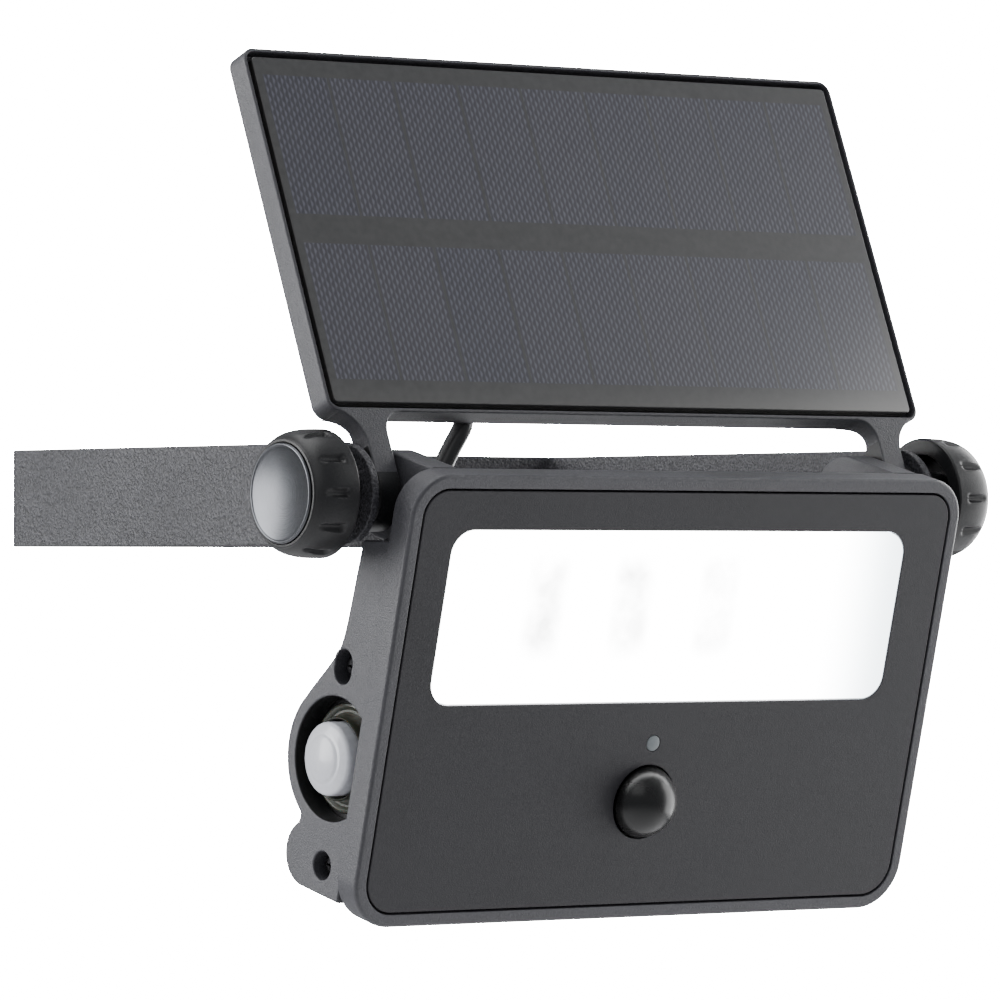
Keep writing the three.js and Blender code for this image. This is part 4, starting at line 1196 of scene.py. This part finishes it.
def make_panel_faces():
    low, high = span("panel_glass", PANEL)
    glass = plate("panel_glass_visual", [tidy(panel_shape(2.7))], -high.y, -low.y, 0.25, FRONT, PANEL)
    dressed(glass, "panel_glass", "panel", "panel_glass")
    low, high = span("panel_backplate", PANEL)
    holes = [list(reversed(circle(middle, SCREW_BORE, 32))) for middle in PANEL_SCREWS]
    loops = [tidy(panel_shape(3.0)), *holes]
    back = plate("panel_backplate_visual", loops, -high.y, -low.y, 0.25, FRONT, PANEL)
    for side in (1, -1):
        cut(back, block("root", both_ways(side, 82, 120), (-10, 20), (0, PANEL_FOOT + 2.6), PANEL))
    dressed(back, "housing_plastic", "panel", "panel_backplate")
    low, high = span("junction_cover", PANEL)
    box = rounded(low.x, high.x, low.z, high.z, 3)
    cover = plate("junction_cover_visual", [box], -high.y, -low.y, 0, FRONT, PANEL, near_edge=1.2)
    dressed(cover, "housing_plastic", "panel", "junction_cover")


# ---- screws and gland

SCREW = {"shank": 1.5, "head": 2.8, "head_height": 1.8}
RECESS = {"half": 0.35, "reach": 1.6, "depth": 1.1}


def make_screw(node, body, place, finish="steel"):
    """A pan head with a cross recess and its shank. The head looks along -X of its place."""
    low, high = span(node, place)
    length = high.x - low.x
    under_head = length - SCREW["head_height"]
    profile = [
        (0, 0), (SCREW["shank"], 0), (SCREW["shank"], under_head), (SCREW["head"], under_head),
        (SCREW["head"], length - 0.9), (2.55, length - 0.45), (2.0, length - 0.15),
        (1.2, length - 0.02), (0, length),
    ]
    base = place @ Matrix.Translation((high.x, 0, 0)) @ Matrix.Rotation(math.pi, 4, "Z")
    screw = lathed(f"{node}_visual", profile, base, 40)
    half, reach = RECESS["half"], RECESS["reach"]
    deep = (length - RECESS["depth"], length + 1)
    for turn in (0, QUARTER):
        turned = base @ Matrix.Rotation(turn, 4, "X")
        cut(screw, block("bar", deep, (-half, half), (-reach, reach), turned))
    dressed(screw, "steel", body, node, finish=finish)


def make_screws():
    for node, (x, z, _, _) in REAR_SCREWS.items():
        make_screw(node, "head", facing_front(HEAD, x, z))
    for row in ("lower", "upper"):
        for side in ("left", "right"):
            node = f"panel_screw_{row}_{side}"
            middle = middle_of(node, PANEL)
            make_screw(node, "panel", facing_front(PANEL, middle.x, middle.z))
    for node, screw in (("side_screw_upper", UPPER_SCREW), ("side_screw_lower", LOWER_SCREW)):
        # The side screws get the painted-shade steel, so their holes read as dark as their shade.
        make_screw(node, "head", at(HEAD, 0, screw["off"], screw["z"]), "painted_shade_steel")


def make_gland():
    """A rubber gland: a flange and two ribs, narrowing backwards."""
    middle = middle_of("head_cable_gland", HEAD)
    flange = [(0, 6.4), (5, 6.4), (5, 5.9), (4.6, 5.6)]
    first_rib = [(4.6, 5.0), (4.1, 4.7), (4.5, 4.3), (4.3, 3.6)]
    second_rib = [(3.8, 3.3), (4.1, 2.9), (3.9, 2.1), (3.5, 1.3)]
    profile = [*flange, *first_rib, *second_rib, (3.3, 1.2), (0, 1.2)]
    gland = lathed("head_cable_gland_visual", profile, facing_front(HEAD, middle.x, middle.z), 64)
    dressed(gland, "rubber", "head", "head_cable_gland", angle=60)


# ---- lead

LEAD_RADIUS = 2.8
LEAD_SIDES = 24
LEAD_STEPS = 8
LEAD_ROUTE = (
    (-53, 9.6, 22.2), (-54.2, 8.9, 18.8), (-57.8, 9.6, 12.5), (-61.2, 9.9, 6),
    (-64.2, 9.2, -0.5), (-66.3, 7.2, -5.6), (-67, 4.3, -8.1), (-67, 1.4, -8.93),
)


def spline(points):
    """A smooth curve through the points."""
    dense = []
    for i in range(len(points) - 1):
        p1, p2 = points[i], points[i + 1]
        p0 = points[i - 1] if i else 2 * p1 - p2
        p3 = points[i + 2] if i + 2 < len(points) else 2 * p2 - p1
        square = 2 * p0 - 5 * p1 + 4 * p2 - p3
        cube = 3 * p1 - p0 - 3 * p2 + p3
        for k in range(LEAD_STEPS):
            t = k / LEAD_STEPS
            dense.append(0.5 * (2 * p1 + (p2 - p0) * t + square * t * t + cube * t**3))
    return [*dense, points[-1]]


def make_lead():
    route = spline([BRACKET @ Vector(point) for point in LEAD_ROUTE])
    bm = bmesh.new()
    rings = []
    turns = [2 * math.pi * k / LEAD_SIDES for k in range(LEAD_SIDES)]
    normal = Vector((1, 0, 0))
    for i, point in enumerate(route):
        along = (route[min(i + 1, len(route) - 1)] - route[max(i - 1, 0)]).normalized()
        normal = (normal - along * normal.dot(along)).normalized()
        other = along.cross(normal)
        ring = [point + (normal * math.cos(a) + other * math.sin(a)) * LEAD_RADIUS for a in turns]
        rings.append([bm.verts.new(spot) for spot in ring])
    for lower, upper in zip(rings, rings[1:]):
        for k in range(LEAD_SIDES):
            m = (k + 1) % LEAD_SIDES
            bm.faces.new((lower[k], lower[m], upper[m], upper[k]))
    bm.faces.new(rings[0])
    bm.faces.new(reversed(rings[-1]))
    lead = piece_from("panel_lead_visual", bm, Matrix.Identity(4))
    dressed(lead, "rubber", None, "panel_lead")
    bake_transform(lead)


# ---- floor


def make_floor():
    """A wide pale floor below the light, in metres. The camera sees it nearly white."""
    bm = bmesh.new()
    bmesh.ops.create_circle(bm, cap_ends=True, radius=FLOOR_RADIUS, segments=96)
    floor = piece_from("floor", bm, Matrix.Translation((0, 0, -FLOOR_DROP)))
    nodes = Nodes("floor")
    speck = nodes.noise(40, 2)
    colours = nodes.blend(speck, (0.78, 0.78, 0.79), (0.82, 0.82, 0.83))
    nodes.link(colours, nodes.shader.inputs["Base Color"])
    nodes.set(Roughness=0.8)
    pale = nodes.add("ShaderNodeEmission")
    pale.inputs["Strength"].default_value = FLOOR_GLOW
    mix = nodes.add("ShaderNodeMixShader")
    nodes.link(nodes.add("ShaderNodeLightPath").outputs["Is Camera Ray"], mix.inputs[0])
    nodes.link(nodes.shader.outputs[0], mix.inputs[1])
    nodes.link(pale.outputs[0], mix.inputs[2])
    nodes.link(mix.outputs[0], nodes.out.inputs["Surface"])
    floor.data.materials.append(nodes.material)


make_bracket()
make_washers()
make_knobs()
make_rear_housing()
make_side_cap()
make_bezel()
make_front_cover()
make_window()
make_sensor_dome()
make_indicator()
make_button()
make_boot()
make_panel_frame()
make_panel_faces()
make_screws()
make_gland()
make_lead()
make_floor()
